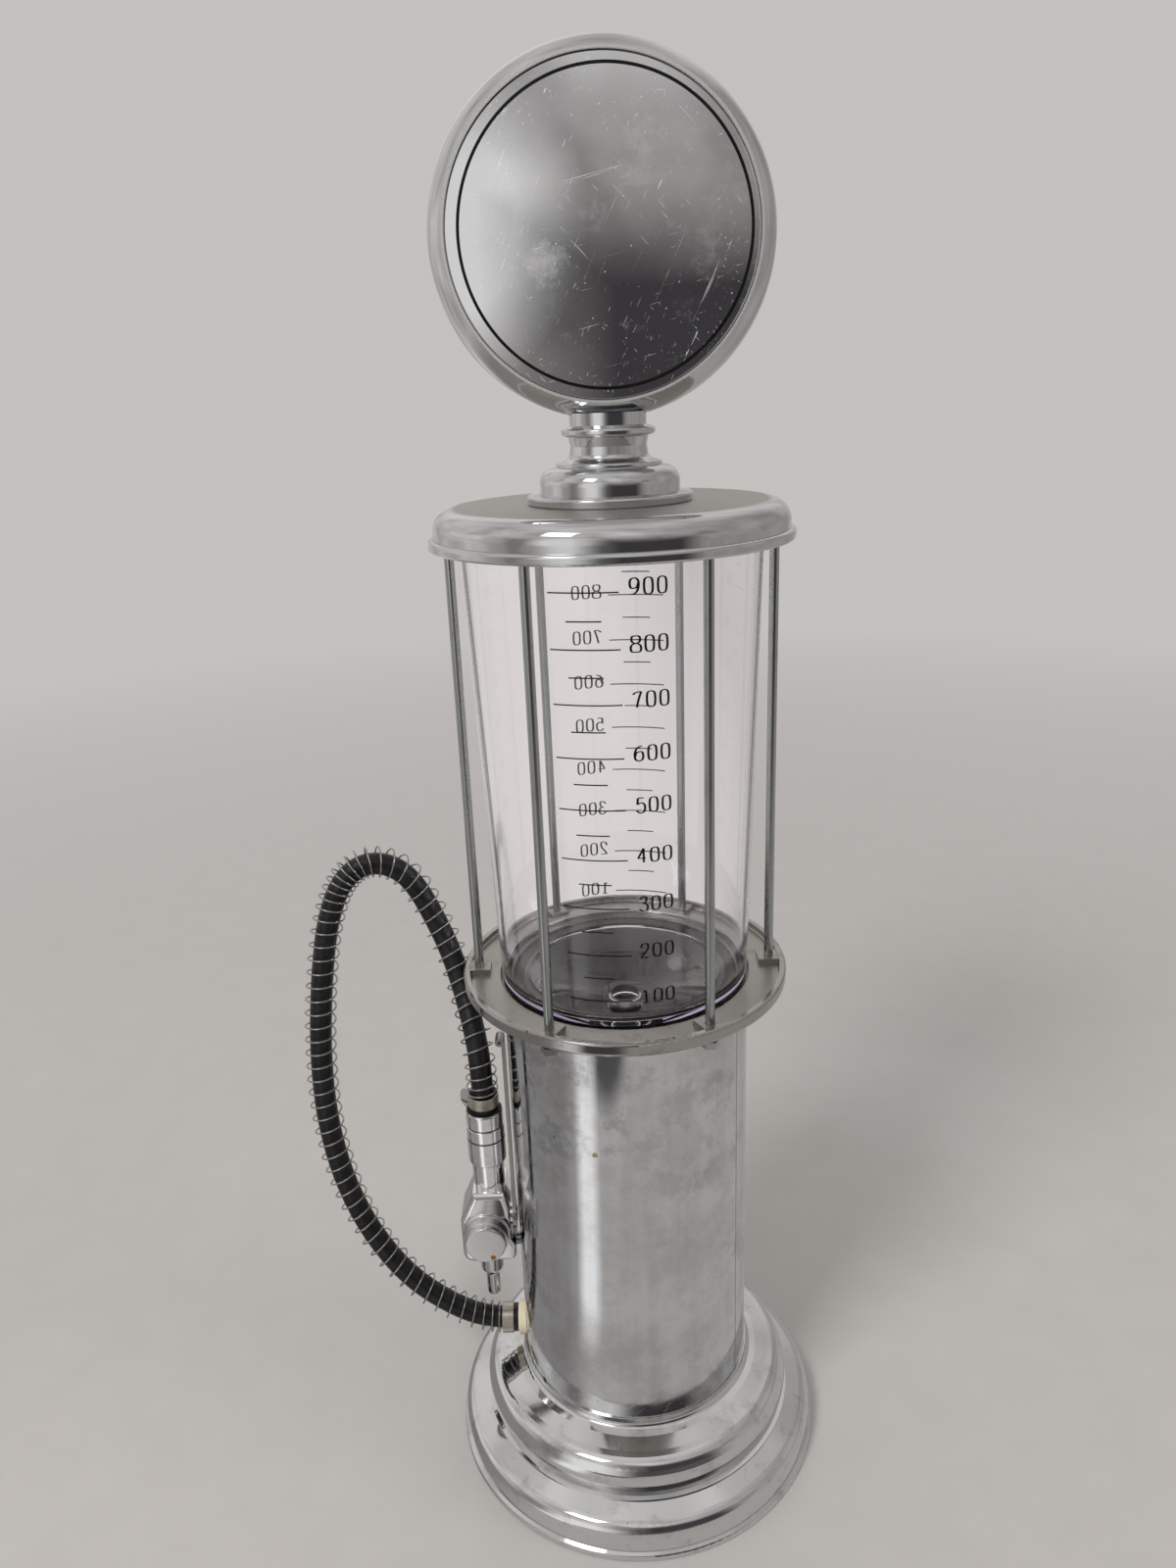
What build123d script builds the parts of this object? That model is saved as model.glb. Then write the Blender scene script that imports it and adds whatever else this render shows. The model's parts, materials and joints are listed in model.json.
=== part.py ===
"""Table-top drinks dispenser in the shape of an old fuel pump.

Millimetres. The origin is at the centre of the foot, on the table. +Z is up, the sign faces -Y
and the hose and its nozzle are on the -X side.
"""

import os
from math import cos, exp, pi, radians, sin, tan

from build123d import *

os.makedirs("parts", exist_ok=True)

# Fits
slip = 0.1  # room all round a piece that is put into another and stays there
running = 0.06  # room all round a shaft that turns or a peg that slides
apart = 0.3  # room between pieces that move past each other

# Column
column_radius = 43.75
column_wall = 1.5
column_length = 162.0
column_socket = 3.5  # how deep the column stands in the foot
column_flange = 1.5
column_flange_width = 8.25
column_screw_count = 3
column_screw_inset = 3.25  # of the screws from the column's bore
column_screw_radius = 1.5
column_screw_head = 2.6

# Foot
base_radius = 71.0
base_height = 37.0
base_web = 3.5  # floor that the column stands on
base_hole_room = 2.0  # round the hole in the column's flange
rim_height = 2.4
rim_round = 0.6
rim_step = 0.8
lip_setback = 1.2  # of the lower roll behind the rim
lip_round = 6.0
groove_height = 16.0
base_wall = 3.6
pad_setback = 3.6  # of the pad behind the rim
pad_thickness = 2.0
pad_recess = 1.6  # how deep the pad sits in the foot

# Ring
ring_overhang = 5.5  # past the circle of the rods
ring_height = 8.5
ring_lip_width = 2.2
ring_lip_height = 2.2
ring_rim_height = 4.2
ring_seat_depth = 2.8
ring_seat_width = 7.5  # under the canister's foot
ring_spigot = 7.5
rod_pad_length = 8.0
rod_pad_width = 7.6
rod_pad_height = 1.8

# Tie rods
rod_count = 6
rod_radius = 1.6
rod_setback = 4.05  # of the nuts' seats from the column
rod_in_lid = 5.0
nut_width = 5.5
nut_height = 2.4
nut_seat_radius = 4.0
nut_seat_height = 2.0  # above the column's top edge
rod_tail = 0.6

# Canister
canister_rod_room = 2.0  # between the mouth and the rods
canister_taper = 4.7  # of the radius, from the mouth to the foot
canister_height = 160.5
canister_wall = 2.0
canister_floor = 3.0
canister_foot_round = 1.5
canister_floor_round = 5.0
dish_room = 2.0  # between the floor's dish and the ring
drain_radius = 5.3
drain_drop = 11.0  # of the floor, from its edge to the drain
drain_rim = 3.2

# Lid
lid_overhang = 4.4  # past the circle of the rods
lid_rim = 1.6
lid_depth = 12.0
lid_rim_height = 3.4
lid_shoulder = 6.5
lid_wall = 2.0
lid_seal_thickness = 2.5
lid_seal_width = 3.6
fill_hole_radius = 17.0
fill_neck_wall = 2.0
rod_post_radius = 3.1

# Pedestal, stopper and sign
pedestal_flange_radius = 25.8
pedestal_flange = 2.8
pedestal_bell_radius = 22.0
pedestal_step_radius = 16.6
pedestal_waist_radius = 11.9
pedestal_bead_radius = 14.6
pedestal_bell_top = 11.2  # heights over the lid
pedestal_step_top = 12.2
pedestal_waist_top = 17.0
pedestal_bead_height = 21.2
pedestal_bead_top = 23.0
stopper_depth = 13.0
stud_radius = 2.5
stud_tail = 5.0
stud_nut_width = 9.0
stud_nut_height = 3.5
sign_radius = 51.0
sign_clearance = 24.5  # of the sign's rim over the lid
sign_rim_depth = 19.2
sign_rim_round = 4.8  # how much the rim's section bulges
sign_lip_width = 1.2
sign_ledge_width = 2.5
sign_lip = 0.6
sign_sheet = 1.0
sign_dome = 4.5

# Outlet and feed tube inside the column
tailpiece_flange = 3.0
tailpiece_wall = 1.5
tailpiece_barb = 12.0
tailpiece_length = 20.0
barb_radius = 3.0
barb_bore = 2.1
feed_tube_wall = 1.4
feed_bend = 28.0

# Hose and its ends
hose_outlet_rise = 7.5  # of the hose's outlet over the foot
hose_radius = 4.1
hose_bore = 2.6
nipple_shank_radius = 3.2
nipple_inside = 14.0
nipple_tail = 8.0  # of its inner barb
nipple_shoulder_radius = 4.6
nipple_barb_radius = 2.45
nipple_barb = 10.0
nipple_nut_width = 11.0
nipple_nut_height = 3.0
grommet_radius = 6.5
grommet_length = 2.8
sleeve_radius = 5.3
sleeve_length = 6.0
ferrule_radius = 5.8
ferrule_length = 4.5
ferrule_reach = 0.4  # how far it stands past its sleeve

# Wire spring round the hose
spring_radius = 5.78
spring_wire = 0.32
spring_pitch = 5.5
spring_end_pitch = 2.2
spring_closing = 9.0  # length over which the end turns open out

# Nozzle
collar_radius = 6.9
collar_rise = 42.1  # of the collar over the valve
collar_height = 6.4
collar_spigot_radius = 5.0
collar_spigot = 5.6
nozzle_barb = 13.0
thumb_lug_radius = 4.6
thumb_lug_thickness = 3.0
thumb_lug_reach = 6.4
thumb_lug_turn = 140.0
thumb_lug_rise = 1.6  # of its middle over the collar's top
barrel_radius = 7.1
barrel_rise = 26.0
barrel_gap = 0.4
neck_radius = 6.0
flow_radius = 2.3
block_drop = 15.5  # of the block's underside below the valve
block_shoulder_rise = 3.5
block_neck_rise = 15.5
block_outer = 11.3  # sideways from the nozzle's axis, away from the column
block_inner = 7.6  # and towards the column
block_toe = 9.1
toe_height = 6.5
toe_slope = 3.0
block_depth = 18.0
block_round = 2.0

# Valve
valve_height = 95.5
valve_offset = -1.3  # of the valve's axis from the nozzle's
chamber_radius = 5.0
seat_depth = 2.5  # of the valve seat behind the nozzle's axis
port_radius = 1.9
outlet_radius = 1.6
outlet_depth = 4.7  # of the spout's axis behind the nozzle's
stem_length = 5.5
stem_nose_radius = 2.1
stem_nose = 2.0
stem_flat = 0.8
seal_thickness = 1.5
seal_radius = 4.0
cap_flange_radius = 8.9
cap_flange = 2.2
cap_collar_radius = 8.2
cap_collar = 4.4
cap_disc_radius = 7.6
cap_disc = 2.6
cap_spigot = 2.5
cap_bore_radius = 3.6
cap_end_wall = 3.0
valve_spring_radius = 2.9
valve_spring_wire = 0.32
valve_spring_turns = 6
spout_offset = -0.7  # of the spout's axis from the valve's
spout_stub_radius = 4.5
spout_stub = 13.5
spout_stub_round = 1.4
spout_radius = 2.75
spout_root_round = 2.0
spout_length = 26.0

# Trigger
shaft_radius = 2.5
crank_throw = 1.5
crank_pin_radius = 0.95
crank_pin = 3.3
crank_slot_room = 0.15
boss_radius = 4.0
lever_thickness = 1.1
lever_width = 5.5
lever_eye_radius = 5.5
lever_length = 77.5  # from the eye to the tip
lever_curl_radius = 1.7
lever_gap = 1.25  # between the barrel and the lever
lever_room = 0.6  # between the lever's screw and the column
trigger_screw_radius = 1.25
trigger_screw_head_radius = 3.0
trigger_screw_head = 0.5

# Peg that the nozzle hangs on
peg_drop = 12.0  # of the peg below the valve
peg_radius = 2.4
peg_depth = 7.2  # into the nozzle's block
peg_shank_radius = 1.6
peg_nut_width = 5.5
peg_nut_height = 2.4

# Heights and places that follow from the sizes above
rim_bottom = pad_thickness - pad_recess
column_bottom = base_height - column_socket
hose_height = base_height + hose_outlet_rise
column_top = column_bottom + column_length
column_bore = column_radius - column_wall
column_flange_radius = column_bore - column_flange_width
screw_circle_radius = column_bore - column_screw_inset
base_hole_radius = column_flange_radius + base_hole_room
rod_circle_radius = column_radius + rod_setback + nut_seat_radius
ring_radius = rod_circle_radius + ring_overhang
ring_top = column_top + ring_height
ring_channel = ring_top - ring_lip_height
ring_seat = ring_channel - ring_seat_depth
canister_mouth_radius = rod_circle_radius - rod_radius - canister_rod_room
canister_foot_radius = canister_mouth_radius - canister_taper
canister_top = ring_seat + canister_height
canister_inner_foot = canister_foot_radius - canister_wall
canister_inner_mouth = canister_mouth_radius - canister_wall
ring_hole_radius = canister_foot_radius - ring_seat_width
dish_radius = ring_hole_radius - dish_room
drain_bottom = ring_seat - drain_drop
lid_radius = rod_circle_radius + lid_overhang
lid_rim_radius = lid_radius + lid_rim
lid_ceiling = canister_top + lid_seal_thickness
lid_top = lid_ceiling + lid_wall
lid_bottom = lid_top - lid_depth
rod_seat = column_top + nut_seat_height
rod_bottom = rod_seat - nut_height - rod_tail
rod_top = lid_bottom + rod_in_lid
sign_z = lid_top + sign_clearance + sign_radius
sign_lip_radius = sign_radius - sign_rim_round
sign_face_radius = sign_lip_radius - sign_lip_width
sign_ledge_radius = sign_face_radius - sign_ledge_width
stopper_bottom = lid_top - stopper_depth
collar_bottom = valve_height + collar_rise
collar_top = collar_bottom + collar_height
barrel_bottom = valve_height + barrel_rise
block_bottom = valve_height - block_drop
block_shoulder = valve_height + block_shoulder_rise
block_neck = valve_height + block_neck_rise
lever_top = valve_height + lever_length
peg_height = valve_height - peg_drop
lever_outside = -column_radius - lever_room - trigger_screw_head
lever_inside = lever_outside - lever_thickness
boss_face = lever_inside - running
nozzle_x = lever_inside - lever_gap - barrel_radius
valve_x = nozzle_x + valve_offset
spout_x = valve_x + spout_offset
block_front = -block_depth / 2

# Route of the hose from the column to the nozzle, as corners of a smooth line: how far each one
# is out from the column's wall, how far back, and how high in shares of the way up to the collar
hose_rise = collar_top - hose_height
nozzle_out = -nozzle_x - column_radius
hose_corners = [
    (3.25, 0.0, 0.0),
    (14.25, 0.0, 0.0),
    (29.25, 1.0, 0.065),
    (46.25, 4.0, 0.186),
    (60.25, 8.0, 0.377),
    (69.25, 11.0, 0.608),
    (73.75, 14.0, 0.869),
    (73.75, 16.0, 1.141),
    (71.0, 18.0, 1.412),
    (67.2, 20.0, 1.643),
    (63.0, 21.5, 1.779),
    (58.5, 22.7, 1.859),
    (52.0, 24.2, 1.907),
    (44.5, 25.7, 1.907),
    (37.7, 27.3, 1.865),
    (32.4, 28.0, 1.790),
    (27.0, 27.3, 1.671),
    (21.3, 24.0, 1.538),
    (16.6, 17.0, 1.402),
    (12.8, 7.2, 1.295),
    (nozzle_out, 0.0, 1.18),
    (nozzle_out, 0.0, 1.030),
]
hose_route = [(-column_radius - out, back, hose_height + up * hose_rise) for out, back, up in hose_corners]

# Axes that the round pieces are turned about: local X is the radius, local Y runs along the axis
upright = Plane.XZ
nozzle_upright = Plane(origin=(nozzle_x, 0, 0), x_dir=(1, 0, 0), z_dir=(0, -1, 0))
spout_upright = Plane(origin=(spout_x, outlet_depth, 0), x_dir=(1, 0, 0), z_dir=(0, -1, 0))
sign_axis = Plane.XY.offset(sign_z)
valve_axis = Plane(origin=(valve_x, 0, valve_height))
hose_exit_axis = Plane(origin=(0, 0, hose_height), x_dir=(0, 1, 0), z_dir=(0, 0, -1))
peg_axis = Plane(origin=(0, 0, peg_height), x_dir=(0, 1, 0), z_dir=(0, 0, -1))
trigger_axis = Plane(origin=(0, 0, valve_height), x_dir=(0, 1, 0), z_dir=(0, 0, -1))


def keep(piece, name):
    """Label a finished piece and write it to its own file."""
    piece.part.label = name
    export_step(piece.part, f"parts/{name}.step")


def outline(corners, plane):
    """Give the face inside a closed outline of (x, y) or (x, y, rounding) corners."""
    with BuildSketch(plane) as drawn:
        with BuildLine():
            FilletPolyline(
                *[corner[:2] for corner in corners],
                radius=[corner[2] if len(corner) > 2 else 0 for corner in corners],
                close=True,
            )
        make_face()
    return drawn.sketch


def turn(corners, plane):
    """Turn a closed outline about its plane's local Y axis, in the part being built."""
    revolve(outline(corners, plane), axis=Axis(plane.origin, plane.y_dir))


def hexagon_nut(plane, width, hole_radius, height):
    """Raise a hexagon with a round hole from a plane, in the part being built."""
    with BuildSketch(plane) as hexagon:
        RegularPolygon(width / 2, 6, major_radius=False)
        Circle(hole_radius, mode=Mode.SUBTRACT)
    extrude(hexagon.sketch, amount=height)


# Foot: stepped shell, open below, with a socket for the column
with BuildPart() as base_foot:
    socket_radius = column_radius + slip
    lip_radius = base_radius - lip_setback
    pad_radius = base_radius - pad_setback
    foot_width = base_radius - socket_radius
    groove_radius = socket_radius + 0.617 * foot_width
    roll_radius = socket_radius + 0.606 * foot_width
    band_outer_radius = socket_radius + 0.337 * foot_width
    band_inner_radius = socket_radius + 0.16 * foot_width
    groove_depth = 0.052 * foot_width
    roll_setback = 0.114 * foot_width
    roll_height = base_height - groove_height
    inner_roll = roll_radius - base_wall
    inner_groove = groove_radius - base_wall
    inner_height = groove_height + roll_height / 3
    web_bottom = column_bottom - base_web
    turn(
        [
            (base_radius, rim_bottom),
            (base_radius, rim_height, rim_round),
            (lip_radius, rim_height + rim_step),
            (lip_radius, 0.775 * groove_height, lip_round),
            (groove_radius, groove_height),
            (groove_radius, groove_height + 0.043 * roll_height),
            (groove_radius - groove_depth, groove_height + 0.062 * roll_height),
            (roll_radius, groove_height + 0.381 * roll_height, 0.381 * roll_height),
            (roll_radius - roll_setback, base_height - roll_height / 3, 0.286 * roll_height),
            (band_outer_radius, base_height - 0.267 * roll_height),
            (band_inner_radius, base_height - 0.186 * roll_height),
            (socket_radius + 0.25 * base_wall, base_height - 0.138 * roll_height, 0.55 * base_wall),
            (socket_radius + 0.14 * base_wall, base_height),
            (socket_radius, base_height),
            (socket_radius, column_bottom),
            (base_hole_radius, column_bottom),
            (base_hole_radius, web_bottom),
            (band_inner_radius, web_bottom),
            (inner_roll - roll_setback, (web_bottom + inner_height) / 2),
            (inner_roll, inner_height),
            (inner_groove - groove_depth, 0.94 * groove_height),
            (lip_radius - base_wall, 0.594 * groove_height),
            (lip_radius - base_wall, pad_thickness),
            (pad_radius + slip, pad_thickness),
            (pad_radius + slip, rim_bottom),
        ],
        upright,
    )
    with BuildSketch(Plane.XY.offset(web_bottom)):
        with PolarLocations(screw_circle_radius, column_screw_count, start_angle=90):
            Circle(column_screw_radius + slip)
    extrude(amount=base_web, mode=Mode.SUBTRACT)
keep(base_foot, "base_foot")

# Pad: disc that closes the foot and stands on the table
with BuildPart() as base_pad:
    with BuildSketch():
        Circle(pad_radius)
    extrude(amount=pad_thickness)
keep(base_pad, "base_pad")

# Column: tube with an inward flange at the bottom, and holes for the hose nipple and the peg
with BuildPart() as column_tube:
    turn(
        [
            (column_radius, column_bottom),
            (column_radius, column_top),
            (column_bore, column_top),
            (column_bore, column_bottom + column_flange),
            (column_flange_radius, column_bottom + column_flange),
            (column_flange_radius, column_bottom),
        ],
        upright,
    )
    with BuildSketch(Plane.XY.offset(column_bottom)):
        with PolarLocations(screw_circle_radius, column_screw_count, start_angle=90):
            Circle(column_screw_radius + slip)
    extrude(amount=column_flange, mode=Mode.SUBTRACT)
    with BuildSketch(Plane.YZ.offset(-column_radius - column_wall)):
        with Locations((0, hose_height)):
            Circle(nipple_shank_radius + slip)
        with Locations((0, peg_height)):
            Circle(peg_shank_radius + slip)
    extrude(amount=3 * column_wall, mode=Mode.SUBTRACT)
keep(column_tube, "column_tube")

# Screws up through the foot's floor and the column's flange, with their nuts
screw_end = column_bottom + column_flange + nut_height + rod_tail
with BuildPart() as column_screws:
    with BuildSketch(Plane.XY.offset(web_bottom - column_screw_head)):
        with PolarLocations(screw_circle_radius, column_screw_count, start_angle=90):
            Circle(2 * column_screw_radius)
    extrude(amount=column_screw_head)
    with BuildSketch(Plane.XY.offset(web_bottom)):
        with PolarLocations(screw_circle_radius, column_screw_count, start_angle=90):
            Circle(column_screw_radius)
    extrude(amount=screw_end - web_bottom)
keep(column_screws, "column_screws")

with BuildPart() as column_nuts:
    with BuildSketch(Plane.XY.offset(column_bottom + column_flange)):
        with PolarLocations(screw_circle_radius, column_screw_count, start_angle=90):
            RegularPolygon(nut_width / 2, 6, major_radius=False)
            Circle(column_screw_radius + slip, mode=Mode.SUBTRACT)
    extrude(amount=nut_height)
keep(column_nuts, "column_nuts")

# Ring: raised lip, sunk channel, canister seat and six rod pads, on top of the column
with BuildPart() as shelf_ring:
    rim_underside = ring_top - ring_rim_height
    seat_radius = canister_foot_radius + 2 * apart
    turn(
        [
            (ring_radius, ring_top, 0.8),
            (ring_radius, rim_underside, 1.4),
            (ring_radius - 0.6 * ring_height, column_top + 0.19 * ring_height, 0.47 * ring_height),
            (column_radius + 0.16 * ring_height, column_top),
            (column_bore - slip, column_top),
            (column_bore - slip, column_top - ring_spigot),
            (ring_hole_radius, column_top - ring_spigot),
            (ring_hole_radius, ring_seat),
            (seat_radius, ring_seat),
            (seat_radius, ring_channel, 0.5),
            (ring_radius - ring_lip_width, ring_channel, 0.6),
            (ring_radius - ring_lip_width, ring_top),
        ],
        upright,
    )
    with BuildSketch(Plane.XY.offset(ring_channel)):
        with PolarLocations(rod_circle_radius, rod_count):
            Rectangle(rod_pad_length, rod_pad_width)
    extrude(amount=rod_pad_height)
    with BuildSketch(Plane.XY.offset(column_top - ring_height)):
        with PolarLocations(rod_circle_radius, rod_count):
            Circle(rod_radius + slip)
    extrude(amount=3 * ring_height, mode=Mode.SUBTRACT)
    with BuildSketch(Plane.XY.offset(rod_seat)):
        with PolarLocations(rod_circle_radius, rod_count):
            Circle(nut_seat_radius)
    extrude(amount=-ring_height, mode=Mode.SUBTRACT)
keep(shelf_ring, "shelf_ring")

# Six tie rods, and the nuts under the ring
with BuildPart() as tie_rods:
    with BuildSketch(Plane.XY.offset(rod_bottom)):
        with PolarLocations(rod_circle_radius, rod_count):
            Circle(rod_radius)
    extrude(amount=rod_top - rod_bottom)
keep(tie_rods, "tie_rods")

with BuildPart() as rod_nuts:
    with BuildSketch(Plane.XY.offset(rod_seat)):
        with PolarLocations(rod_circle_radius, rod_count):
            RegularPolygon(nut_width / 2, 6, major_radius=False)
            Circle(rod_radius + slip, mode=Mode.SUBTRACT)
    extrude(amount=-nut_height)
keep(rod_nuts, "rod_nuts")

# Canister: tapered cup with a floor that falls to a drain hole
with BuildPart() as canister:
    turn(
        [
            (drain_radius, drain_bottom),
            (drain_radius + drain_rim, drain_bottom),
            (dish_radius, ring_seat),
            (canister_foot_radius, ring_seat, canister_foot_round),
            (canister_mouth_radius, canister_top, 0.3 * canister_wall),
            (canister_inner_mouth, canister_top, 0.3 * canister_wall),
            (canister_inner_foot, ring_seat + canister_floor, canister_floor_round),
            (dish_radius, ring_seat + canister_floor),
            (drain_radius + drain_rim, drain_bottom + canister_floor),
            (drain_radius, drain_bottom + canister_floor),
        ],
        upright,
    )
keep(canister, "canister")

# Lid: rolled rim, round shoulder, flat top with the filling neck, and posts for the rods
with BuildPart() as lid:
    lid_bore = lid_radius - lid_wall
    neck_outside = fill_hole_radius + fill_neck_wall
    turn(
        [
            (lid_rim_radius, lid_bottom, 0.8),
            (lid_rim_radius, lid_bottom + lid_rim_height, 1.3),
            (lid_radius, lid_bottom + lid_rim_height),
            (lid_radius, lid_top, lid_shoulder),
            (fill_hole_radius, lid_top, 0.5),
            (fill_hole_radius, lid_bottom),
            (neck_outside, lid_bottom),
            (neck_outside, lid_ceiling),
            (lid_bore, lid_ceiling, lid_shoulder - lid_wall),
            (lid_bore, lid_bottom),
        ],
        upright,
    )
    with BuildSketch(Plane.XY.offset(lid_bottom)):
        with PolarLocations(rod_circle_radius, rod_count):
            Circle(rod_post_radius)
    extrude(amount=canister_top - slip - lid_bottom)
    with BuildSketch(Plane.XY.offset(lid_bottom)):
        with PolarLocations(rod_circle_radius, rod_count):
            Circle(rod_radius + slip)
    extrude(amount=rod_in_lid, mode=Mode.SUBTRACT)
keep(lid, "lid")

# Seal between the canister's mouth and the lid
with BuildPart() as lid_seal:
    seal_middle = canister_mouth_radius - canister_wall / 2
    turn(
        [
            (seal_middle - lid_seal_width / 2, canister_top),
            (seal_middle + lid_seal_width / 2, canister_top),
            (seal_middle + lid_seal_width / 2, lid_ceiling),
            (seal_middle - lid_seal_width / 2, lid_ceiling),
        ],
        upright,
    )
keep(lid_seal, "lid_seal")

# Pedestal: turned flange, bell, waist and bead, saddled to the round sign
half_rim = sign_rim_depth / 2
with BuildPart() as pedestal:
    saddle_top = sign_z - sign_radius + 2.2
    turn(
        [
            (stud_radius + slip, lid_top),
            (pedestal_flange_radius, lid_top, 0.6),
            (pedestal_flange_radius, lid_top + pedestal_flange, 0.9),
            (pedestal_bell_radius, lid_top + pedestal_flange + 0.4),
            (pedestal_bell_radius, lid_top + pedestal_bell_top - 1.2, 5.0),
            (pedestal_step_radius, lid_top + pedestal_bell_top),
            (pedestal_step_radius, lid_top + pedestal_step_top, 0.6),
            (pedestal_waist_radius + 0.6, lid_top + pedestal_step_top + 0.9, 2.4),
            (pedestal_waist_radius, lid_top + pedestal_waist_top),
            (pedestal_waist_radius + 0.6, lid_top + pedestal_bead_height - 1.6),
            (pedestal_bead_radius, lid_top + pedestal_bead_height - 1.2, 0.9),
            (pedestal_bead_radius, lid_top + pedestal_bead_height + 0.8, 0.9),
            (pedestal_waist_radius, lid_top + pedestal_bead_top),
            (pedestal_waist_radius, saddle_top),
            (stud_radius + slip, saddle_top),
        ],
        upright,
    )
    with BuildSketch(sign_axis):
        with BuildLine():
            ThreePointArc((sign_lip_radius, -half_rim - slip), (sign_radius + slip, 0), (sign_lip_radius, half_rim + slip))
            Polyline((sign_lip_radius, half_rim + slip), (0, half_rim + slip), (0, -half_rim - slip), (sign_lip_radius, -half_rim - slip))
        make_face()
    revolve(axis=Axis(sign_axis.origin, sign_axis.y_dir), mode=Mode.SUBTRACT)
keep(pedestal, "pedestal")

# Stopper under the pedestal, in the lid's filling neck
with BuildPart() as fill_stopper:
    turn(
        [
            (stud_radius + slip, lid_top),
            (fill_hole_radius - apart, lid_top),
            (fill_hole_radius - apart, stopper_bottom, 1.5),
            (stud_radius + slip, stopper_bottom),
        ],
        upright,
    )
keep(fill_stopper, "fill_stopper")

# Stud that holds stopper, pedestal and sign together, and its two nuts
sign_floor = sign_z - sign_ledge_radius
with BuildPart() as topper_stud:
    with BuildSketch(Plane.XY.offset(stopper_bottom - stud_tail)):
        Circle(stud_radius)
    extrude(amount=sign_floor + 2 * stud_tail - stopper_bottom)
keep(topper_stud, "topper_stud")

with BuildPart() as topper_nuts:
    hexagon_nut(
        Plane.XY.offset(stopper_bottom - stud_nut_height),
        stud_nut_width,
        stud_radius + slip,
        stud_nut_height,
    )
    hexagon_nut(
        Plane.XY.offset(sign_floor + 1.0),
        stud_nut_width,
        stud_radius + slip,
        stud_nut_height,
    )
keep(topper_nuts, "topper_nuts")

# Sign: rolled rim with a ledge for a domed sheet on each side
sheet_seat = half_rim - sign_lip - sign_sheet
sheet_room = sign_face_radius + slip
with BuildPart() as sign_rim:
    with BuildSketch(sign_axis):
        with BuildLine():
            ThreePointArc((sign_lip_radius, -half_rim), (sign_radius, 0), (sign_lip_radius, half_rim))
            Polyline(
                (sign_lip_radius, half_rim),
                (sheet_room, half_rim),
                (sheet_room, sheet_seat),
                (sign_ledge_radius, sheet_seat),
                (sign_ledge_radius, -sheet_seat),
                (sheet_room, -sheet_seat),
                (sheet_room, -half_rim),
                (sign_lip_radius, -half_rim),
            )
        make_face()
    revolve(axis=Axis(sign_axis.origin, sign_axis.y_dir))
    with BuildSketch(Plane.XY.offset(sign_z - sign_radius - stud_radius)):
        Circle(stud_radius + slip)
    extrude(amount=sign_radius - sign_ledge_radius + 2 * stud_radius, mode=Mode.SUBTRACT)
    with BuildSketch(Plane.XY.offset(sign_floor + 1.0)):
        Circle(stud_nut_width * 0.6)
    extrude(amount=-2.0, mode=Mode.SUBTRACT)
keep(sign_rim, "sign_rim")


def domed_sheet(side):
    """Cut a domed sheet of the sign from two balls, on the side that it faces."""
    ball_radius = (sign_face_radius**2 + sign_dome**2) / (2 * sign_dome)
    outer_middle = side * (sheet_seat + sign_sheet + sign_dome - ball_radius)
    with Locations((0, outer_middle, sign_z)):
        Sphere(ball_radius)
    with Locations((0, outer_middle - side * sign_sheet, sign_z)):
        Sphere(ball_radius, mode=Mode.SUBTRACT)
    with BuildSketch(Plane(origin=(0, side * sheet_seat / 2, sign_z), z_dir=(0, side, 0))) as disc:
        Circle(sign_face_radius)
    extrude(disc.sketch, amount=2 * (sign_dome + sheet_seat), mode=Mode.INTERSECT)


with BuildPart() as sign_face_front:
    domed_sheet(-1)
keep(sign_face_front, "sign_face_front")

with BuildPart() as sign_face_back:
    domed_sheet(1)
keep(sign_face_back, "sign_face_back")

# Tailpiece bonded under the canister's drain hole
tailpiece_bottom = drain_bottom - tailpiece_length
tailpiece_bore = drain_radius - tailpiece_wall
barb_top = tailpiece_bottom + tailpiece_barb
with BuildPart() as outlet_tailpiece:
    turn(
        [
            (tailpiece_bore, drain_bottom),
            (drain_radius + drain_rim, drain_bottom),
            (drain_radius + drain_rim, drain_bottom - tailpiece_flange, 0.8),
            (drain_radius, drain_bottom - tailpiece_flange),
            (drain_radius, barb_top),
            (barb_radius, barb_top),
            (barb_radius, tailpiece_bottom),
            (barb_bore, tailpiece_bottom),
            (barb_bore, barb_top),
            (tailpiece_bore, barb_top + tailpiece_wall),
        ],
        upright,
    )
keep(outlet_tailpiece, "outlet_tailpiece")

# Nipple through the column's wall: barbs inside and outside, shoulder outside
wall_outside = -column_radius - slip
nipple_end = -column_bore + nipple_inside
shoulder_end = wall_outside - grommet_length + 0.4
with BuildPart() as hose_nipple:
    turn(
        [
            (barb_bore, nipple_end),
            (barb_radius, nipple_end),
            (barb_radius, nipple_end - nipple_tail),
            (nipple_shank_radius, nipple_end - nipple_tail),
            (nipple_shank_radius, wall_outside),
            (nipple_shoulder_radius, wall_outside),
            (nipple_shoulder_radius, shoulder_end),
            (nipple_barb_radius, shoulder_end),
            (nipple_barb_radius, shoulder_end - nipple_barb),
            (nipple_barb_radius - 0.9, shoulder_end - nipple_barb),
            (nipple_barb_radius - 0.9, -column_bore),
            (barb_bore, -column_bore + 2.0),
        ],
        hose_exit_axis,
    )
keep(hose_nipple, "hose_nipple")

with BuildPart() as nipple_nut:
    hexagon_nut(
        Plane(origin=(-column_bore + 1.0, 0, hose_height), x_dir=(0, 1, 0), z_dir=(1, 0, 0)),
        nipple_nut_width,
        nipple_shank_radius + slip,
        nipple_nut_height,
    )
keep(nipple_nut, "nipple_nut")

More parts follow.
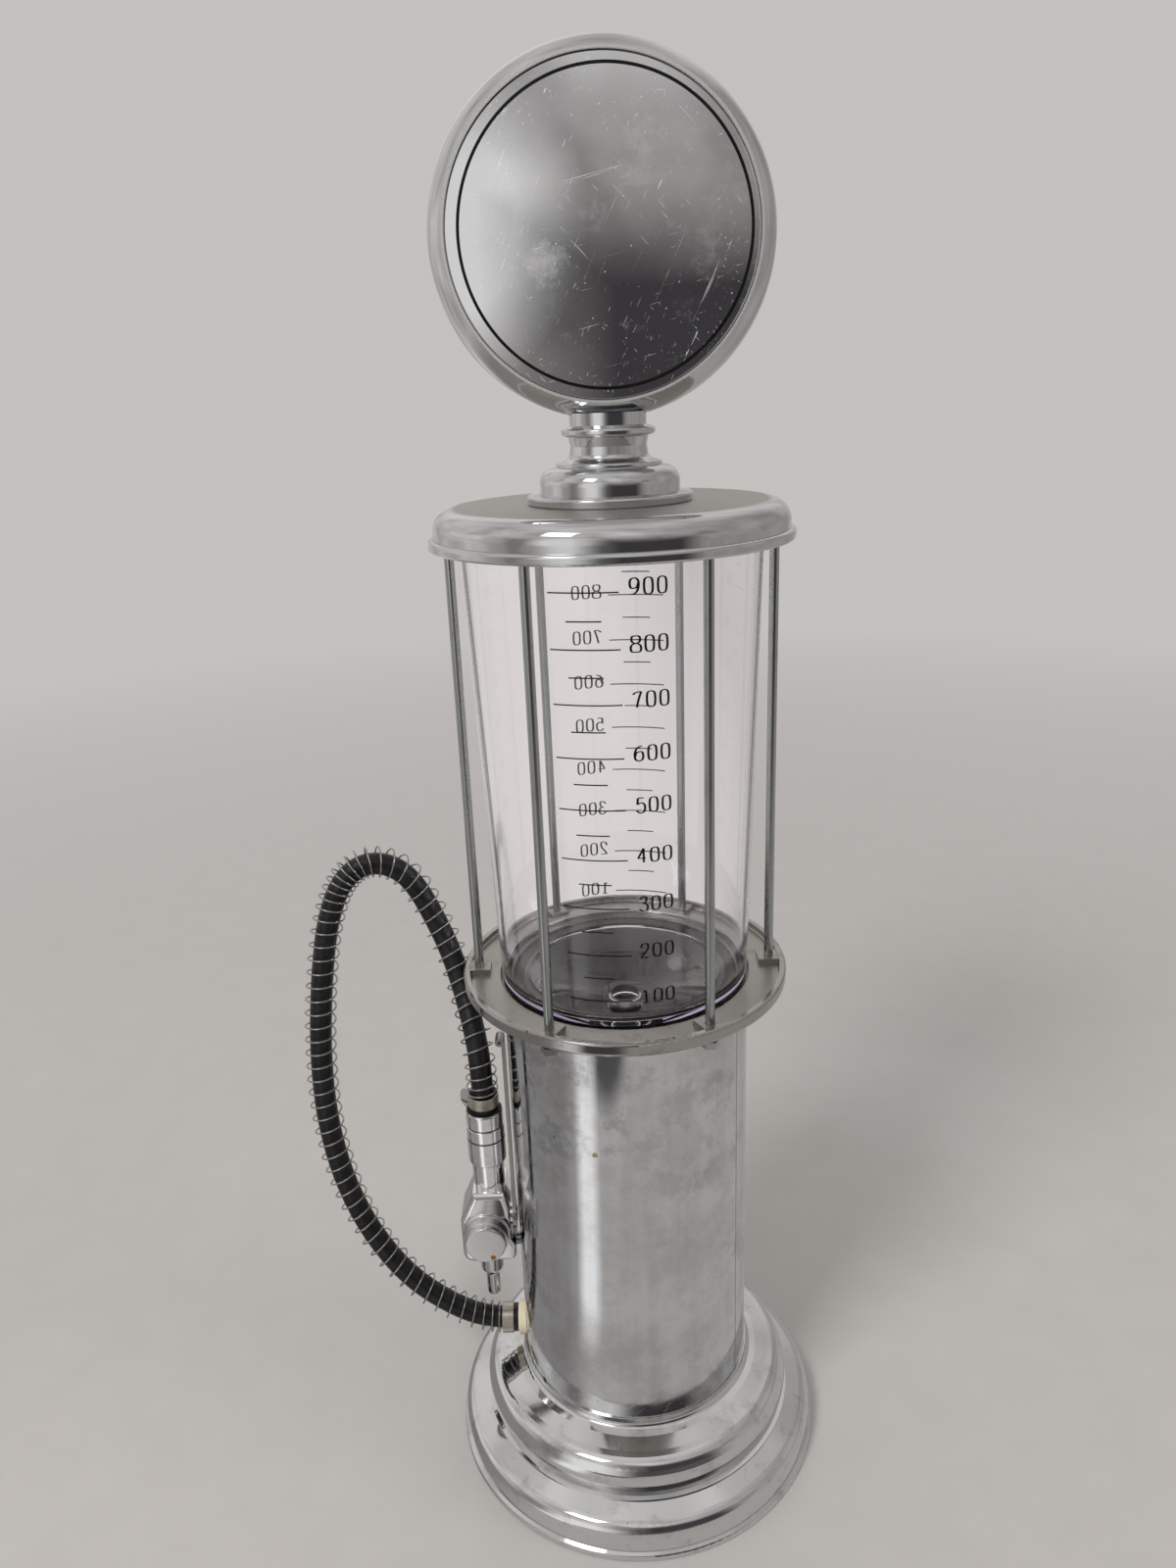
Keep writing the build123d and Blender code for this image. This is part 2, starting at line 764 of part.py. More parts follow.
# Feed tube from the tailpiece down to the nipple
feed_bore = barb_radius + slip
with BuildPart() as feed_tube:
    with BuildLine():
        feed_line = FilletPolyline(
            (0, 0, barb_top - 1.0),
            (0, 0, hose_height),
            (nipple_end - 7.0, 0, hose_height),
            radius=feed_bend,
        )
    with BuildSketch(Plane(origin=feed_line @ 0, z_dir=feed_line % 0)):
        Circle(feed_bore + feed_tube_wall)
        Circle(feed_bore, mode=Mode.SUBTRACT)
    sweep()
keep(feed_tube, "feed_tube")

# Grommet, shaped to the column, where the hose comes out
with BuildPart() as hose_grommet:
    turn(
        [
            (nipple_shoulder_radius + slip, -column_radius + 1.2),
            (grommet_radius, -column_radius + 1.2),
            (grommet_radius, wall_outside - grommet_length, 0.8),
            (nipple_shoulder_radius + slip, wall_outside - grommet_length),
        ],
        hose_exit_axis,
    )
    with BuildSketch():
        Circle(column_radius + slip)
    extrude(amount=2 * hose_height, mode=Mode.SUBTRACT)
keep(hose_grommet, "hose_grommet")


def hose_band(plane, start, direction, bore):
    """Turn the sleeve outline of a hose end from its seat, along the hose."""
    turn(
        [
            (bore, start),
            (sleeve_radius, start),
            (sleeve_radius, start + direction * sleeve_length),
            (bore, start + direction * sleeve_length),
        ],
        plane,
    )


def ferrule_band(plane, start, direction):
    """Turn the ribbed metal band over the far end of a sleeve."""
    far = start + direction * (sleeve_length + ferrule_reach)
    near = far - direction * ferrule_length
    turn(
        [
            (sleeve_radius + slip, near),
            (ferrule_radius, near, 0.2),
            (ferrule_radius, far, 0.2),
            (sleeve_radius + slip, far),
        ],
        plane,
    )


# Sleeves and metal bands at both ends of the hose
sleeve_start = wall_outside - grommet_length - slip
with BuildPart() as hose_sleeve_lower:
    hose_band(hose_exit_axis, sleeve_start, -1, hose_radius + slip)
keep(hose_sleeve_lower, "hose_sleeve_lower")

with BuildPart() as hose_ferrule_lower:
    ferrule_band(hose_exit_axis, sleeve_start, -1)
keep(hose_ferrule_lower, "hose_ferrule_lower")

with BuildPart() as hose_sleeve_upper:
    hose_band(nozzle_upright, collar_top, 1, hose_radius + apart)
keep(hose_sleeve_upper, "hose_sleeve_upper")

with BuildPart() as hose_ferrule_upper:
    ferrule_band(nozzle_upright, collar_top, 1)
keep(hose_ferrule_upper, "hose_ferrule_upper")

# Hose: straight runs joined by arcs as large as the runs allow
corner_radii = []
for before, corner, after in zip(hose_route, hose_route[1:], hose_route[2:]):
    run_in = Vector(*corner) - Vector(*before)
    run_out = Vector(*after) - Vector(*corner)
    half_turn = radians(run_in.get_angle(run_out)) / 2
    corner_radii.append(0.45 * min(run_in.length, run_out.length) / tan(half_turn))
print("hose bend radii", [round(radius, 1) for radius in corner_radii])

with BuildPart() as hose:
    with BuildLine():
        hose_line = FilletPolyline(*hose_route, radius=corner_radii)
    with BuildSketch(Plane(origin=hose_line @ 0, z_dir=hose_line % 0)):
        Circle(hose_radius)
        Circle(hose_bore, mode=Mode.SUBTRACT)
    sweep()
keep(hose, "hose")
hose_section = pi * (hose_radius**2 - hose_bore**2)
print("hose length", round(hose_line.length, 1), "volume", round(hose.part.volume))
print("section times length", round(hose_section * hose_line.length))


def biarc(start, start_way, end, end_way):
    """Join two points, with their directions, by two arcs that meet smoothly."""
    across = end - start
    ways = start_way + end_way
    opening = 2 * (1 - start_way.dot(end_way))
    reach = across.dot(ways)
    arm = (-reach + (reach * reach + opening * across.dot(across)) ** 0.5) / opening
    middle = (start + end + (start_way - end_way) * arm) * 0.5
    middle_way = (end - end_way * arm) - (start + start_way * arm)
    TangentArc(start, middle, tangent=start_way)
    TangentArc(middle, end, tangent=middle_way)


def wind_wire(points, wire_radius, steps_per_turn):
    """Sweep a wire through a wound line given by points, on biarcs of half a turn."""
    half_turn = steps_per_turn // 2
    nodes = list(range(1, len(points) - 1, half_turn))
    ways = [(points[node + 1] - points[node - 1]).normalized() for node in nodes]
    lead = 2 * wire_radius
    with BuildLine() as wound_line:
        first = points[nodes[0]]
        Line(first - ways[0] * lead, first)
        for i in range(len(nodes) - 1):
            biarc(points[nodes[i]], ways[i], points[nodes[i + 1]], ways[i + 1])
        last = points[nodes[-1]]
        Line(last, last + ways[-1] * lead)
    with BuildSketch(Plane(origin=wound_line.line @ 0, z_dir=wound_line.line % 0)) as section:
        Circle(wire_radius)
    sweep(section.sketch, path=wound_line.line)


def least_gap(points, wire_radius, steps_per_turn):
    """Measure the least free gap between a wound wire's own turns."""
    nearest = min(
        (points[i] - points[j]).length
        for i in range(0, len(points), 2)
        for j in range(i + steps_per_turn * 3 // 4, min(i + steps_per_turn * 2, len(points)))
    )
    return nearest - 2 * wire_radius


# Wire spring: turns wound round the hose, closer at both ends
steps_per_turn = 16
wound_start = -sleeve_start + sleeve_length + ferrule_reach + apart + spring_wire + hose_route[0][0]
wound_end = hose_line.length - (collar_top + sleeve_length + ferrule_reach + apart + spring_wire - hose_route[-1][2])
spring_points = []
along = wound_start
turned_by = 0.0
way = hose_line.tangent_at(along / hose_line.length)
side = way.cross(Vector(0, 1, 0)).normalized()
while along < wound_end:
    centre = hose_line.position_at(along / hose_line.length)
    way = hose_line.tangent_at(along / hose_line.length)
    side = (side - way * side.dot(way)).normalized()
    other = way.cross(side)
    spring_points.append(centre + (side * cos(turned_by) + other * sin(turned_by)) * spring_radius)
    closing = exp(-(along - wound_start) / spring_closing) + exp(-(wound_end - along) / spring_closing)
    pitch = spring_pitch - (spring_pitch - spring_end_pitch) * closing
    along += pitch / steps_per_turn
    turned_by += 2 * pi / steps_per_turn

with BuildPart() as hose_spring:
    wind_wire(spring_points, spring_wire, steps_per_turn)
keep(hose_spring, "hose_spring")
print("hose spring turns", round(turned_by / (2 * pi), 1), "volume", round(hose_spring.part.volume, 1))
print("hose spring least gap", round(least_gap(spring_points, spring_wire, steps_per_turn), 2))

# Nozzle collar with the hose barb, the thumb lug and a spigot into the barrel
with BuildPart() as nozzle_collar:
    turn(
        [
            (flow_radius - 0.8, collar_bottom - collar_spigot),
            (collar_spigot_radius, collar_bottom - collar_spigot),
            (collar_spigot_radius, collar_bottom),
            (collar_radius, collar_bottom, 0.3),
            (collar_radius, collar_top, 1.0),
            (flow_radius, collar_top),
            (flow_radius, collar_top + nozzle_barb),
            (flow_radius - 0.8, collar_top + nozzle_barb),
        ],
        nozzle_upright,
    )
    lug_way = (cos(radians(thumb_lug_turn)), sin(radians(thumb_lug_turn)), 0)
    lug_side = (-lug_way[1], lug_way[0], 0)
    lug_plane = Plane(
        origin=(nozzle_x, 0, collar_top + thumb_lug_rise), x_dir=lug_way, z_dir=lug_side
    ).offset(-thumb_lug_thickness / 2)
    with BuildSketch(lug_plane):
        with Locations((thumb_lug_reach, 0)):
            Circle(thumb_lug_radius)
        with Locations((thumb_lug_reach - thumb_lug_radius, 0)):
            Rectangle(2 * thumb_lug_radius, 4 * thumb_lug_radius, mode=Mode.SUBTRACT)
    extrude(amount=thumb_lug_thickness)
keep(nozzle_collar, "nozzle_collar")

# Nozzle body: barrel, neck and valve block
with BuildPart() as nozzle_body:
    block_left = nozzle_x - block_outer
    block_right = nozzle_x + block_inner
    toe_right = nozzle_x + block_toe
    block_face = outline(
        [
            (nozzle_x - neck_radius, block_neck),
            (block_left, block_shoulder, 3.0),
            (block_left, block_bottom, 4.0),
            (toe_right, block_bottom, 2.5),
            (toe_right, block_bottom + toe_height, 1.5),
            (block_right, block_bottom + toe_height + toe_slope),
            (block_right, block_shoulder + 5.0, 2.0),
            (nozzle_x + neck_radius, block_neck),
        ],
        Plane.XZ.offset(-block_front),
    )
    extrude(block_face, amount=-block_depth)
    fillet(nozzle_body.faces().sort_by(Axis.Y)[0].edges(), block_round)
    fillet(nozzle_body.faces().sort_by(Axis.Y)[-1].edges(), block_round)
    barrel_top = collar_bottom - barrel_gap
    turn(
        [
            (0, block_neck - 6.0),
            (neck_radius, block_neck - 6.0),
            (neck_radius, barrel_bottom),
            (barrel_radius, barrel_bottom, 0.8 * (barrel_radius - neck_radius)),
            (barrel_radius, barrel_top, 0.3),
            (0, barrel_top),
        ],
        nozzle_upright,
    )
    # Bearing boss of the trigger, and the flat that the valve cap screws down on
    with BuildSketch(Plane.YZ.offset(block_right - 1.0)):
        with Locations((0, valve_height)):
            Circle(boss_radius)
    extrude(amount=boss_face - block_right + 1.0)
    # Socket of the collar, flow bore, valve chamber, port and outlet
    with BuildSketch(Plane.XY.offset(barrel_top)):
        with Locations((nozzle_x, 0)):
            Circle(collar_spigot_radius + slip)
    extrude(amount=-(collar_spigot - barrel_gap), mode=Mode.SUBTRACT)
    with BuildSketch(Plane.XY.offset(barrel_top)):
        with Locations((nozzle_x, 0)):
            Circle(flow_radius)
    extrude(amount=valve_height - barrel_top, mode=Mode.SUBTRACT)
    with BuildSketch(Plane.XZ.offset(-block_front)):
        with Locations((valve_x, valve_height)):
            Circle(chamber_radius)
    extrude(amount=block_front - seat_depth, mode=Mode.SUBTRACT)
    with BuildSketch(Plane.XZ.offset(-seat_depth)):
        with Locations((valve_x, valve_height)):
            Circle(port_radius)
    extrude(amount=-(outlet_depth - seat_depth + port_radius), mode=Mode.SUBTRACT)
    with BuildSketch(Plane.XY.offset(valve_height)):
        with Locations((spout_x, outlet_depth)):
            Circle(outlet_radius)
    extrude(amount=block_bottom - valve_height, mode=Mode.SUBTRACT)
    # Bearing of the trigger's shaft and socket of the peg
    with BuildSketch(Plane.YZ.offset(boss_face)):
        with Locations((0, valve_height)):
            Circle(shaft_radius + running)
    extrude(amount=valve_x - boss_face, mode=Mode.SUBTRACT)
    with BuildSketch(Plane.YZ.offset(toe_right)):
        with Locations((0, peg_height)):
            Circle(peg_radius + running)
    extrude(amount=-(peg_depth + apart), mode=Mode.SUBTRACT)
keep(nozzle_body, "nozzle_body")

# Valve cap: stepped plug on the front of the block, hollow for the spring
with BuildPart() as valve_cap:
    cap_face = block_front - cap_flange - cap_collar - cap_disc
    turn(
        [
            (0, cap_face),
            (cap_disc_radius, cap_face, 0.6),
            (cap_disc_radius, cap_face + cap_disc),
            (cap_collar_radius, cap_face + cap_disc + 0.5),
            (cap_collar_radius, block_front - cap_flange - 0.4, 0.5),
            (cap_flange_radius, block_front - cap_flange, 0.4),
            (cap_flange_radius, block_front),
            (chamber_radius - slip, block_front),
            (chamber_radius - slip, block_front + cap_spigot),
            (cap_bore_radius, block_front + cap_spigot),
            (cap_bore_radius, cap_face + cap_end_wall),
            (0, cap_face + cap_end_wall),
        ],
        valve_axis,
    )
keep(valve_cap, "valve_cap")

# Valve stem: piston with a nose for the spring, a slot for the crank pin and a flow flat
stem_back = seat_depth - seal_thickness
stem_front = stem_back - stem_length
stem_radius = chamber_radius - running
with BuildPart() as valve_stem:
    turn(
        [
            (0, stem_front - stem_nose),
            (stem_nose_radius, stem_front - stem_nose),
            (stem_nose_radius, stem_front),
            (stem_radius, stem_front),
            (stem_radius, stem_back),
            (0, stem_back),
        ],
        valve_axis,
    )
    slot_floor = valve_x + chamber_radius - crank_pin - apart
    with BuildSketch(Plane.YZ.offset(slot_floor)):
        with Locations((0, valve_height + crank_throw)):
            Rectangle(2 * (crank_pin_radius + crank_slot_room), 2 * (crank_pin_radius + apart))
    extrude(amount=crank_pin + 1.0, mode=Mode.SUBTRACT)
    with BuildSketch(Plane.XZ.offset(-stem_back)):
        with Locations((valve_x, valve_height + chamber_radius)):
            Rectangle(2 * chamber_radius, 2 * stem_flat)
    extrude(amount=stem_length, mode=Mode.SUBTRACT)
keep(valve_stem, "valve_stem")

with BuildPart() as valve_seal:
    turn(
        [
            (0, stem_back),
            (seal_radius, stem_back),
            (seal_radius, seat_depth),
            (0, seat_depth),
        ],
        valve_axis,
    )
keep(valve_seal, "valve_seal")

# Valve spring between the cap and the stem
coil_front = cap_face + cap_end_wall + 2 * valve_spring_wire
coil_back = stem_front - 2 * valve_spring_wire
coil_steps = valve_spring_turns * steps_per_turn
coil_points = [
    Vector(
        valve_x + valve_spring_radius * cos(2 * pi * step / steps_per_turn),
        coil_front + (coil_back - coil_front) * step / coil_steps,
        valve_height + valve_spring_radius * sin(2 * pi * step / steps_per_turn),
    )
    for step in range(coil_steps + 1)
]
with BuildPart() as valve_spring:
    wind_wire(coil_points, valve_spring_wire, steps_per_turn)
keep(valve_spring, "valve_spring")
print("valve spring volume", round(valve_spring.part.volume, 1))
print("valve spring least gap", round(least_gap(coil_points, valve_spring_wire, steps_per_turn), 2))

# Spout under the block
with BuildPart() as spout:
    spout_tip = block_bottom - spout_length
    turn(
        [
            (outlet_radius, block_bottom),
            (spout_stub_radius, block_bottom),
            (spout_stub_radius, block_bottom - spout_stub, spout_stub_round),
            (spout_radius, block_bottom - spout_stub - spout_root_round, spout_root_round),
            (spout_radius, spout_tip, 0.8),
            (outlet_radius, spout_tip),
        ],
        spout_upright,
    )
keep(spout, "spout")

# Trigger: shaft with a crank pin, flat lever with a curled tip, and its screw
with BuildPart() as trigger_shaft:
    shaft_end = valve_x + chamber_radius + apart
    turn(
        [
            (trigger_screw_radius + slip, lever_inside),
            (shaft_radius, lever_inside),
            (shaft_radius, shaft_end),
            (0, shaft_end),
            (0, lever_inside - 3.0),
            (trigger_screw_radius + slip, lever_inside - 3.0),
        ],
        trigger_axis,
    )
    with BuildSketch(Plane.YZ.offset(shaft_end)):
        with Locations((0, valve_height + crank_throw)):
            Circle(crank_pin_radius)
    extrude(amount=-crank_pin)
keep(trigger_shaft, "trigger_shaft")

with BuildPart() as trigger_lever:
    with BuildSketch(Plane.YZ.offset(lever_inside)):
        with Locations((0, valve_height)):
            Circle(lever_eye_radius)
        with Locations((0, (valve_height + lever_top) / 2)):
            Rectangle(lever_width, lever_top - valve_height)
        with Locations((0, valve_height)):
            Circle(trigger_screw_radius + slip, mode=Mode.SUBTRACT)
    extrude(amount=lever_thickness)
    curl_middle = lever_inside - lever_curl_radius + lever_thickness
    with BuildSketch(Plane.XZ.offset(-lever_width / 2)):
        with Locations((curl_middle, lever_top)):
            Circle(lever_curl_radius)
            Circle(lever_curl_radius - lever_thickness, mode=Mode.SUBTRACT)
    extrude(amount=lever_width)
keep(trigger_lever, "trigger_lever")

with BuildPart() as trigger_screw:
    turn(
        [
            (0, lever_outside + trigger_screw_head),
            (trigger_screw_head_radius, lever_outside + trigger_screw_head, 0.3),
            (trigger_screw_head_radius, lever_outside),
            (trigger_screw_radius, lever_outside),
            (trigger_screw_radius, lever_inside - 2.5),
            (0, lever_inside - 2.5),
        ],
        trigger_axis,
    )
keep(trigger_screw, "trigger_screw")

# Peg on the column that the nozzle hangs on, with its nut inside
with BuildPart() as nozzle_peg:
    turn(
        [
            (0, toe_right - peg_depth),
            (peg_radius, toe_right - peg_depth, 0.6),
            (peg_radius, wall_outside),
            (peg_shank_radius, wall_outside),
            (peg_shank_radius, -column_bore + peg_nut_height + 2.0),
            (0, -column_bore + peg_nut_height + 2.0),
        ],
        peg_axis,
    )
keep(nozzle_peg, "nozzle_peg")

with BuildPart() as peg_nut:
    hexagon_nut(
        Plane(origin=(-column_bore + 0.4, 0, peg_height), x_dir=(0, 1, 0), z_dir=(1, 0, 0)),
        peg_nut_width,
        peg_shank_radius + slip,
        peg_nut_height,
    )
keep(peg_nut, "peg_nut")
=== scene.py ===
"""Looks of the table-top drinks dispenser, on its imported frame.

Metres, +Z up, the sign faces -Y. The hose with its wire spring, the printed scale and the ring on
the sign are made here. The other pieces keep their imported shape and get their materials.
"""

import json
from math import cos, exp, pi, radians, sin

import bmesh
import bpy
from mathutils import Matrix, Vector


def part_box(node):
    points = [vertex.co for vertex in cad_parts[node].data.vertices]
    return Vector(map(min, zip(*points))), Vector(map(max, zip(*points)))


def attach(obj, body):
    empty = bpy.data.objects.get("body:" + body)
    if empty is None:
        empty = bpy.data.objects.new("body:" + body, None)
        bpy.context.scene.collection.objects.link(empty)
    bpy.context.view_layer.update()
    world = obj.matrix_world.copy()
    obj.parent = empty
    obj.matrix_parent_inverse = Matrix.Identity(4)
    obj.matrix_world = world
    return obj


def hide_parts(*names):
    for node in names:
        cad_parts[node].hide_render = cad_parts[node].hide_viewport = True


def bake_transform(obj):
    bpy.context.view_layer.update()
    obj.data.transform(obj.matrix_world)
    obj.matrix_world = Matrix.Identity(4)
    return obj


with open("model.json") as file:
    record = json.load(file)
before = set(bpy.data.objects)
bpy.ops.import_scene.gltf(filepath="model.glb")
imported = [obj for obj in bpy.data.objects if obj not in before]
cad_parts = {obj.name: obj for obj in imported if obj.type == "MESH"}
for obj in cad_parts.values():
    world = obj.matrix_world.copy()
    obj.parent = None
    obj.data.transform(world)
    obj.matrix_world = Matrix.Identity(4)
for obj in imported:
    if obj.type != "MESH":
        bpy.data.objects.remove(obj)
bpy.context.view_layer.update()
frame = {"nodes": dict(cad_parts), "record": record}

nodes = frame["nodes"]
scene = bpy.context.scene
MM = 0.001

# Sizes of the hose and its wire spring
hose_radius = 4.1 * MM
spring_radius = 5.78 * MM
spring_wire = 0.32 * MM
spring_pitch = 5.5 * MM
spring_end_pitch = 2.2 * MM
spring_closing = 9.0 * MM  # way over which the turns close up at each end
spring_clearance = 0.62 * MM  # from the bands at the ends
spring_bunch = 0.55  # share by which the turns close up at the loop's top
spring_lift = 0.8 * MM  # of the turns at the loop's top
bunch_before_top = 9.0 * MM
bunch_spread = 17.0 * MM
steps_per_turn = 18

# Sizes of the printed scale and the printed ring
print_height = 0.04 * MM
line_width = 0.42 * MM
long_line = 20.8 * MM
short_line = 10.4 * MM
digit_height = 4.7 * MM
digit_width = 2.5 * MM
digit_step = 4.05 * MM
digit_gap = 3.1 * MM
digit_drop = 0.9 * MM
nib_width = 0.36 * MM
nib_spread = 2.0  # how much broader upright strokes are than level ones
stroke_steps = 6
scale_turn = radians(-102.0)
scale_low_ml = 100
scale_high_ml = 900
line_step_ml = 50
number_step_ml = 100
scale_bottom = 211.7 * MM
scale_top = 343.4 * MM
canister_taper = 4.7 * MM
canister_seat_drop = 5.0 * MM
face_ring_radius = 42.0 * MM
face_ring_width = 0.9 * MM
face_ring_shift = 0.8 * MM
face_ring_steps = 160
face_dome = 4.5 * MM

# Route of the hose from the column to the nozzle: out from the column's wall and back, in
# millimetres, and up in shares of the way from the outlet to the nozzle's collar
column_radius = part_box("column_tube")[1].x
hose_height = (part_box("hose_grommet")[0].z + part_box("hose_grommet")[1].z) / 2
sleeve_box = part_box("hose_sleeve_upper")
collar_top = sleeve_box[0].z
nozzle_x = (sleeve_box[0].x + sleeve_box[1].x) / 2
nozzle_out = -nozzle_x / MM - column_radius / MM
hose_corners = [
    (3.25, 0.0, 0.0),
    (14.25, 0.0, 0.0),
    (29.25, 1.0, 0.065),
    (46.25, 4.0, 0.186),
    (60.25, 8.0, 0.377),
    (69.25, 11.0, 0.608),
    (73.75, 14.0, 0.869),
    (73.75, 16.0, 1.141),
    (71.0, 18.0, 1.412),
    (67.2, 20.0, 1.643),
    (63.0, 21.5, 1.779),
    (58.5, 22.7, 1.859),
    (52.0, 24.2, 1.907),
    (44.5, 25.7, 1.907),
    (37.7, 27.3, 1.865),
    (32.4, 28.0, 1.790),
    (27.0, 27.3, 1.671),
    (21.3, 24.0, 1.538),
    (16.6, 17.0, 1.402),
    (12.8, 7.2, 1.295),
    (nozzle_out, 0.0, 1.18),
    (nozzle_out, 0.0, 1.030),
]


def hose_point(out, back, up):
    """Place a corner of the hose's route."""
    return Vector((-column_radius - out * MM, back * MM, hose_height + up * (collar_top - hose_height)))


# Places and sizes of the marks on the metal
sign_low, sign_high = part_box("sign_face_front")
sign_axis = Vector(((sign_low.x + sign_high.x) / 2, 0.0, (sign_low.z + sign_high.z) / 2))
sheet_radius = (sign_high.x - sign_low.x) / 2
worn_point = sign_axis + Vector((-17.0 * MM, sign_low.y, -8.0 * MM))
worn_radius = 13.0 * MM
worn_edge = 6.0 * MM
worn_unevenness = 24.0 * MM
lid_flat_radius = 50.5 * MM
ring_channel_radius = 54.5 * MM
cloudy_edge = 2.0 * MM
seam_x = 0.86 * column_radius
seam_solid = 0.12 * MM
seam_reach = 0.3 * MM
scuffs_solid = 55.0 * MM
scuffs_top = 85.0 * MM
drip_point = Vector((-13.0 * MM, -41.8 * MM, 152.0 * MM))
drip_radius = 1.1 * MM
outlet_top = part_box("outlet_tailpiece")[1].z
collar_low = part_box("nozzle_collar")[0].z
joint_solid = 0.45 * MM
joint_reach = 0.8 * MM
joint_unevenness = 0.5 * MM
cap_low, cap_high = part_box("valve_cap")
cap_middle = Vector(((cap_low.x + cap_high.x) / 2, cap_low.y, (cap_low.z + cap_high.z) / 2))
chip_point = cap_middle + Vector((2.6 * MM, 0.0, -5.2 * MM))
chip_radius = 1.2 * MM
band_rib = 0.55 * MM


# Shader helpers
def new_material(name):
    """Make a material and give it with its node tree and shader."""
    material = bpy.data.materials.new(name)
    material.use_nodes = True
    return material, material.node_tree, material.node_tree.nodes["Principled BSDF"]


def add(tree, kind, inputs=None, **settings):
    """Add a node, with its settings, and its inputs as values or links."""
    made = tree.nodes.new("ShaderNode" + kind)
    for key, value in settings.items():
        setattr(made, key, value)
    for key, value in (inputs or {}).items():
        if isinstance(value, bpy.types.NodeSocket):
            tree.links.new(value, made.inputs[key])
        else:
            made.inputs[key].default_value = value
    return made


def place(tree):
    """Give the socket of the object's own coordinates."""
    return add(tree, "TexCoord").outputs["Object"]


def along_axes(tree, where):
    """Give the sockets of coordinates along each axis, by the axis's letter."""
    return add(tree, "SeparateXYZ", {0: where}).outputs


def stretched(tree, scale):
    """Give the object's coordinates scaled along each axis."""
    return add(tree, "Mapping", {"Vector": place(tree), "Scale": scale}).outputs["Vector"]


def noise(tree, where, scale, detail=4.0, roughness=0.6):
    """Give a noise over coordinates."""
    inputs = {"Vector": where, "Scale": scale, "Detail": detail, "Roughness": roughness}
    return add(tree, "TexNoise", inputs).outputs["Fac"]


def ranged(tree, value, low, high, to_low, to_high):
    """Map a range of values to another, held at its ends."""
    inputs = {"Value": value, "From Min": low, "From Max": high, "To Min": to_low, "To Max": to_high}
    return add(tree, "MapRange", inputs).outputs["Result"]


def rising(tree, value, none, full, strength=1.0):
    """Give a mask that rises from nothing to its strength between two values."""
    return ranged(tree, value, none, full, 0.0, strength)


def fading(tree, value, full, none, strength=1.0):
    """Give a mask that fades from its strength to nothing between two values."""
    return ranged(tree, value, full, none, strength, 0.0)


def maths(tree, operation, first, second=0.0):
    """Combine two values."""
    return add(tree, "Math", {0: first, 1: second}, operation=operation).outputs["Value"]


def times(tree, first, second):
    """Multiply two values."""
    return maths(tree, "MULTIPLY", first, second)


def off_value(tree, value, middle):
    """Give how far a value is from a middle one."""
    return maths(tree, "ABSOLUTE", maths(tree, "SUBTRACT", value, middle))


def vector_maths(tree, operation, first, second=(0.0, 0.0, 0.0)):
    """Combine two vectors into a vector."""
    return add(tree, "VectorMath", {0: first, 1: second}, operation=operation).outputs["Vector"]


def length(tree, vector):
    """Give the length of a vector."""
    return add(tree, "VectorMath", {0: vector}, operation="LENGTH").outputs["Value"]


def away_from(tree, where, point):
    """Give the distance of coordinates from a point."""
    return add(tree, "VectorMath", {0: where, 1: point}, operation="DISTANCE").outputs["Value"]


def axis_distance(tree):
    """Give the distance from the upright axis."""
    return length(tree, vector_maths(tree, "MULTIPLY", place(tree), (1.0, 1.0, 0.0)))


def uneven(tree, value, scale, depth, detail=4.0, roughness=0.6):
    """Add a noise of a depth to a value, so that what is cut by it gets a ragged edge."""
    ragged = times(tree, noise(tree, place(tree), scale, detail, roughness), depth)
    return maths(tree, "ADD", value, ragged)


def mixed(tree, factor, first, second):
    """Mix two colours."""
    return add(tree, "Mix", {0: factor, 6: first, 7: second}, data_type="RGBA").outputs[2]


def mixed_value(tree, factor, first, second):
    """Mix two values."""
    return add(tree, "Mix", {0: factor, 2: first, 3: second}, data_type="FLOAT").outputs[0]


def feed(tree, shader, **sockets):
    """Link or set the shader's inputs, with spaces in their names written as underscores."""
    for key, value in sockets.items():
        socket = shader.inputs[key.replace("_", " ")]
        if isinstance(value, bpy.types.NodeSocket):
            tree.links.new(value, socket)
        else:
            socket.default_value = value


def bumped(tree, height, distance, strength):
    """Give the normal of a height map."""
    inputs = {"Height": height, "Distance": distance, "Strength": strength}
    return add(tree, "Bump", inputs).outputs["Normal"]


def scratches(tree, turn, grain, length_of_one, thin):
    """Mask straight scratches of a grain and length, turned in the plane of the sign."""
    turned = add(
        tree,
        "Mapping",
        {"Vector": place(tree), "Rotation": (0.0, turn, 0.0), "Scale": (grain, grain, length_of_one)},
        vector_type="TEXTURE",
    ).outputs["Vector"]
    return rising(tree, noise(tree, turned, scale=1.0, detail=2.0, roughness=0.4), thin, thin + 0.03)


def speckles(tree, scale, share, solid, reach, depth):
    """Mask small spots in a share of a pattern's cells, solid inside and gone past their reach."""
    cells = add(tree, "TexVoronoi", {"Vector": place(tree), "Scale": scale})
    lottery = add(tree, "SeparateColor", {0: cells.outputs["Color"]}).outputs["Red"]
    spots = fading(tree, cells.outputs["Distance"], solid, reach, depth)
    return times(tree, maths(tree, "LESS_THAN", lottery, share), spots)


def near_point(tree, point, radius):
    """Mask a soft ragged spot round a point."""
    away = uneven(tree, away_from(tree, place(tree), point), 900.0, radius)
    return fading(tree, away, 1.2 * radius, 1.6 * radius)


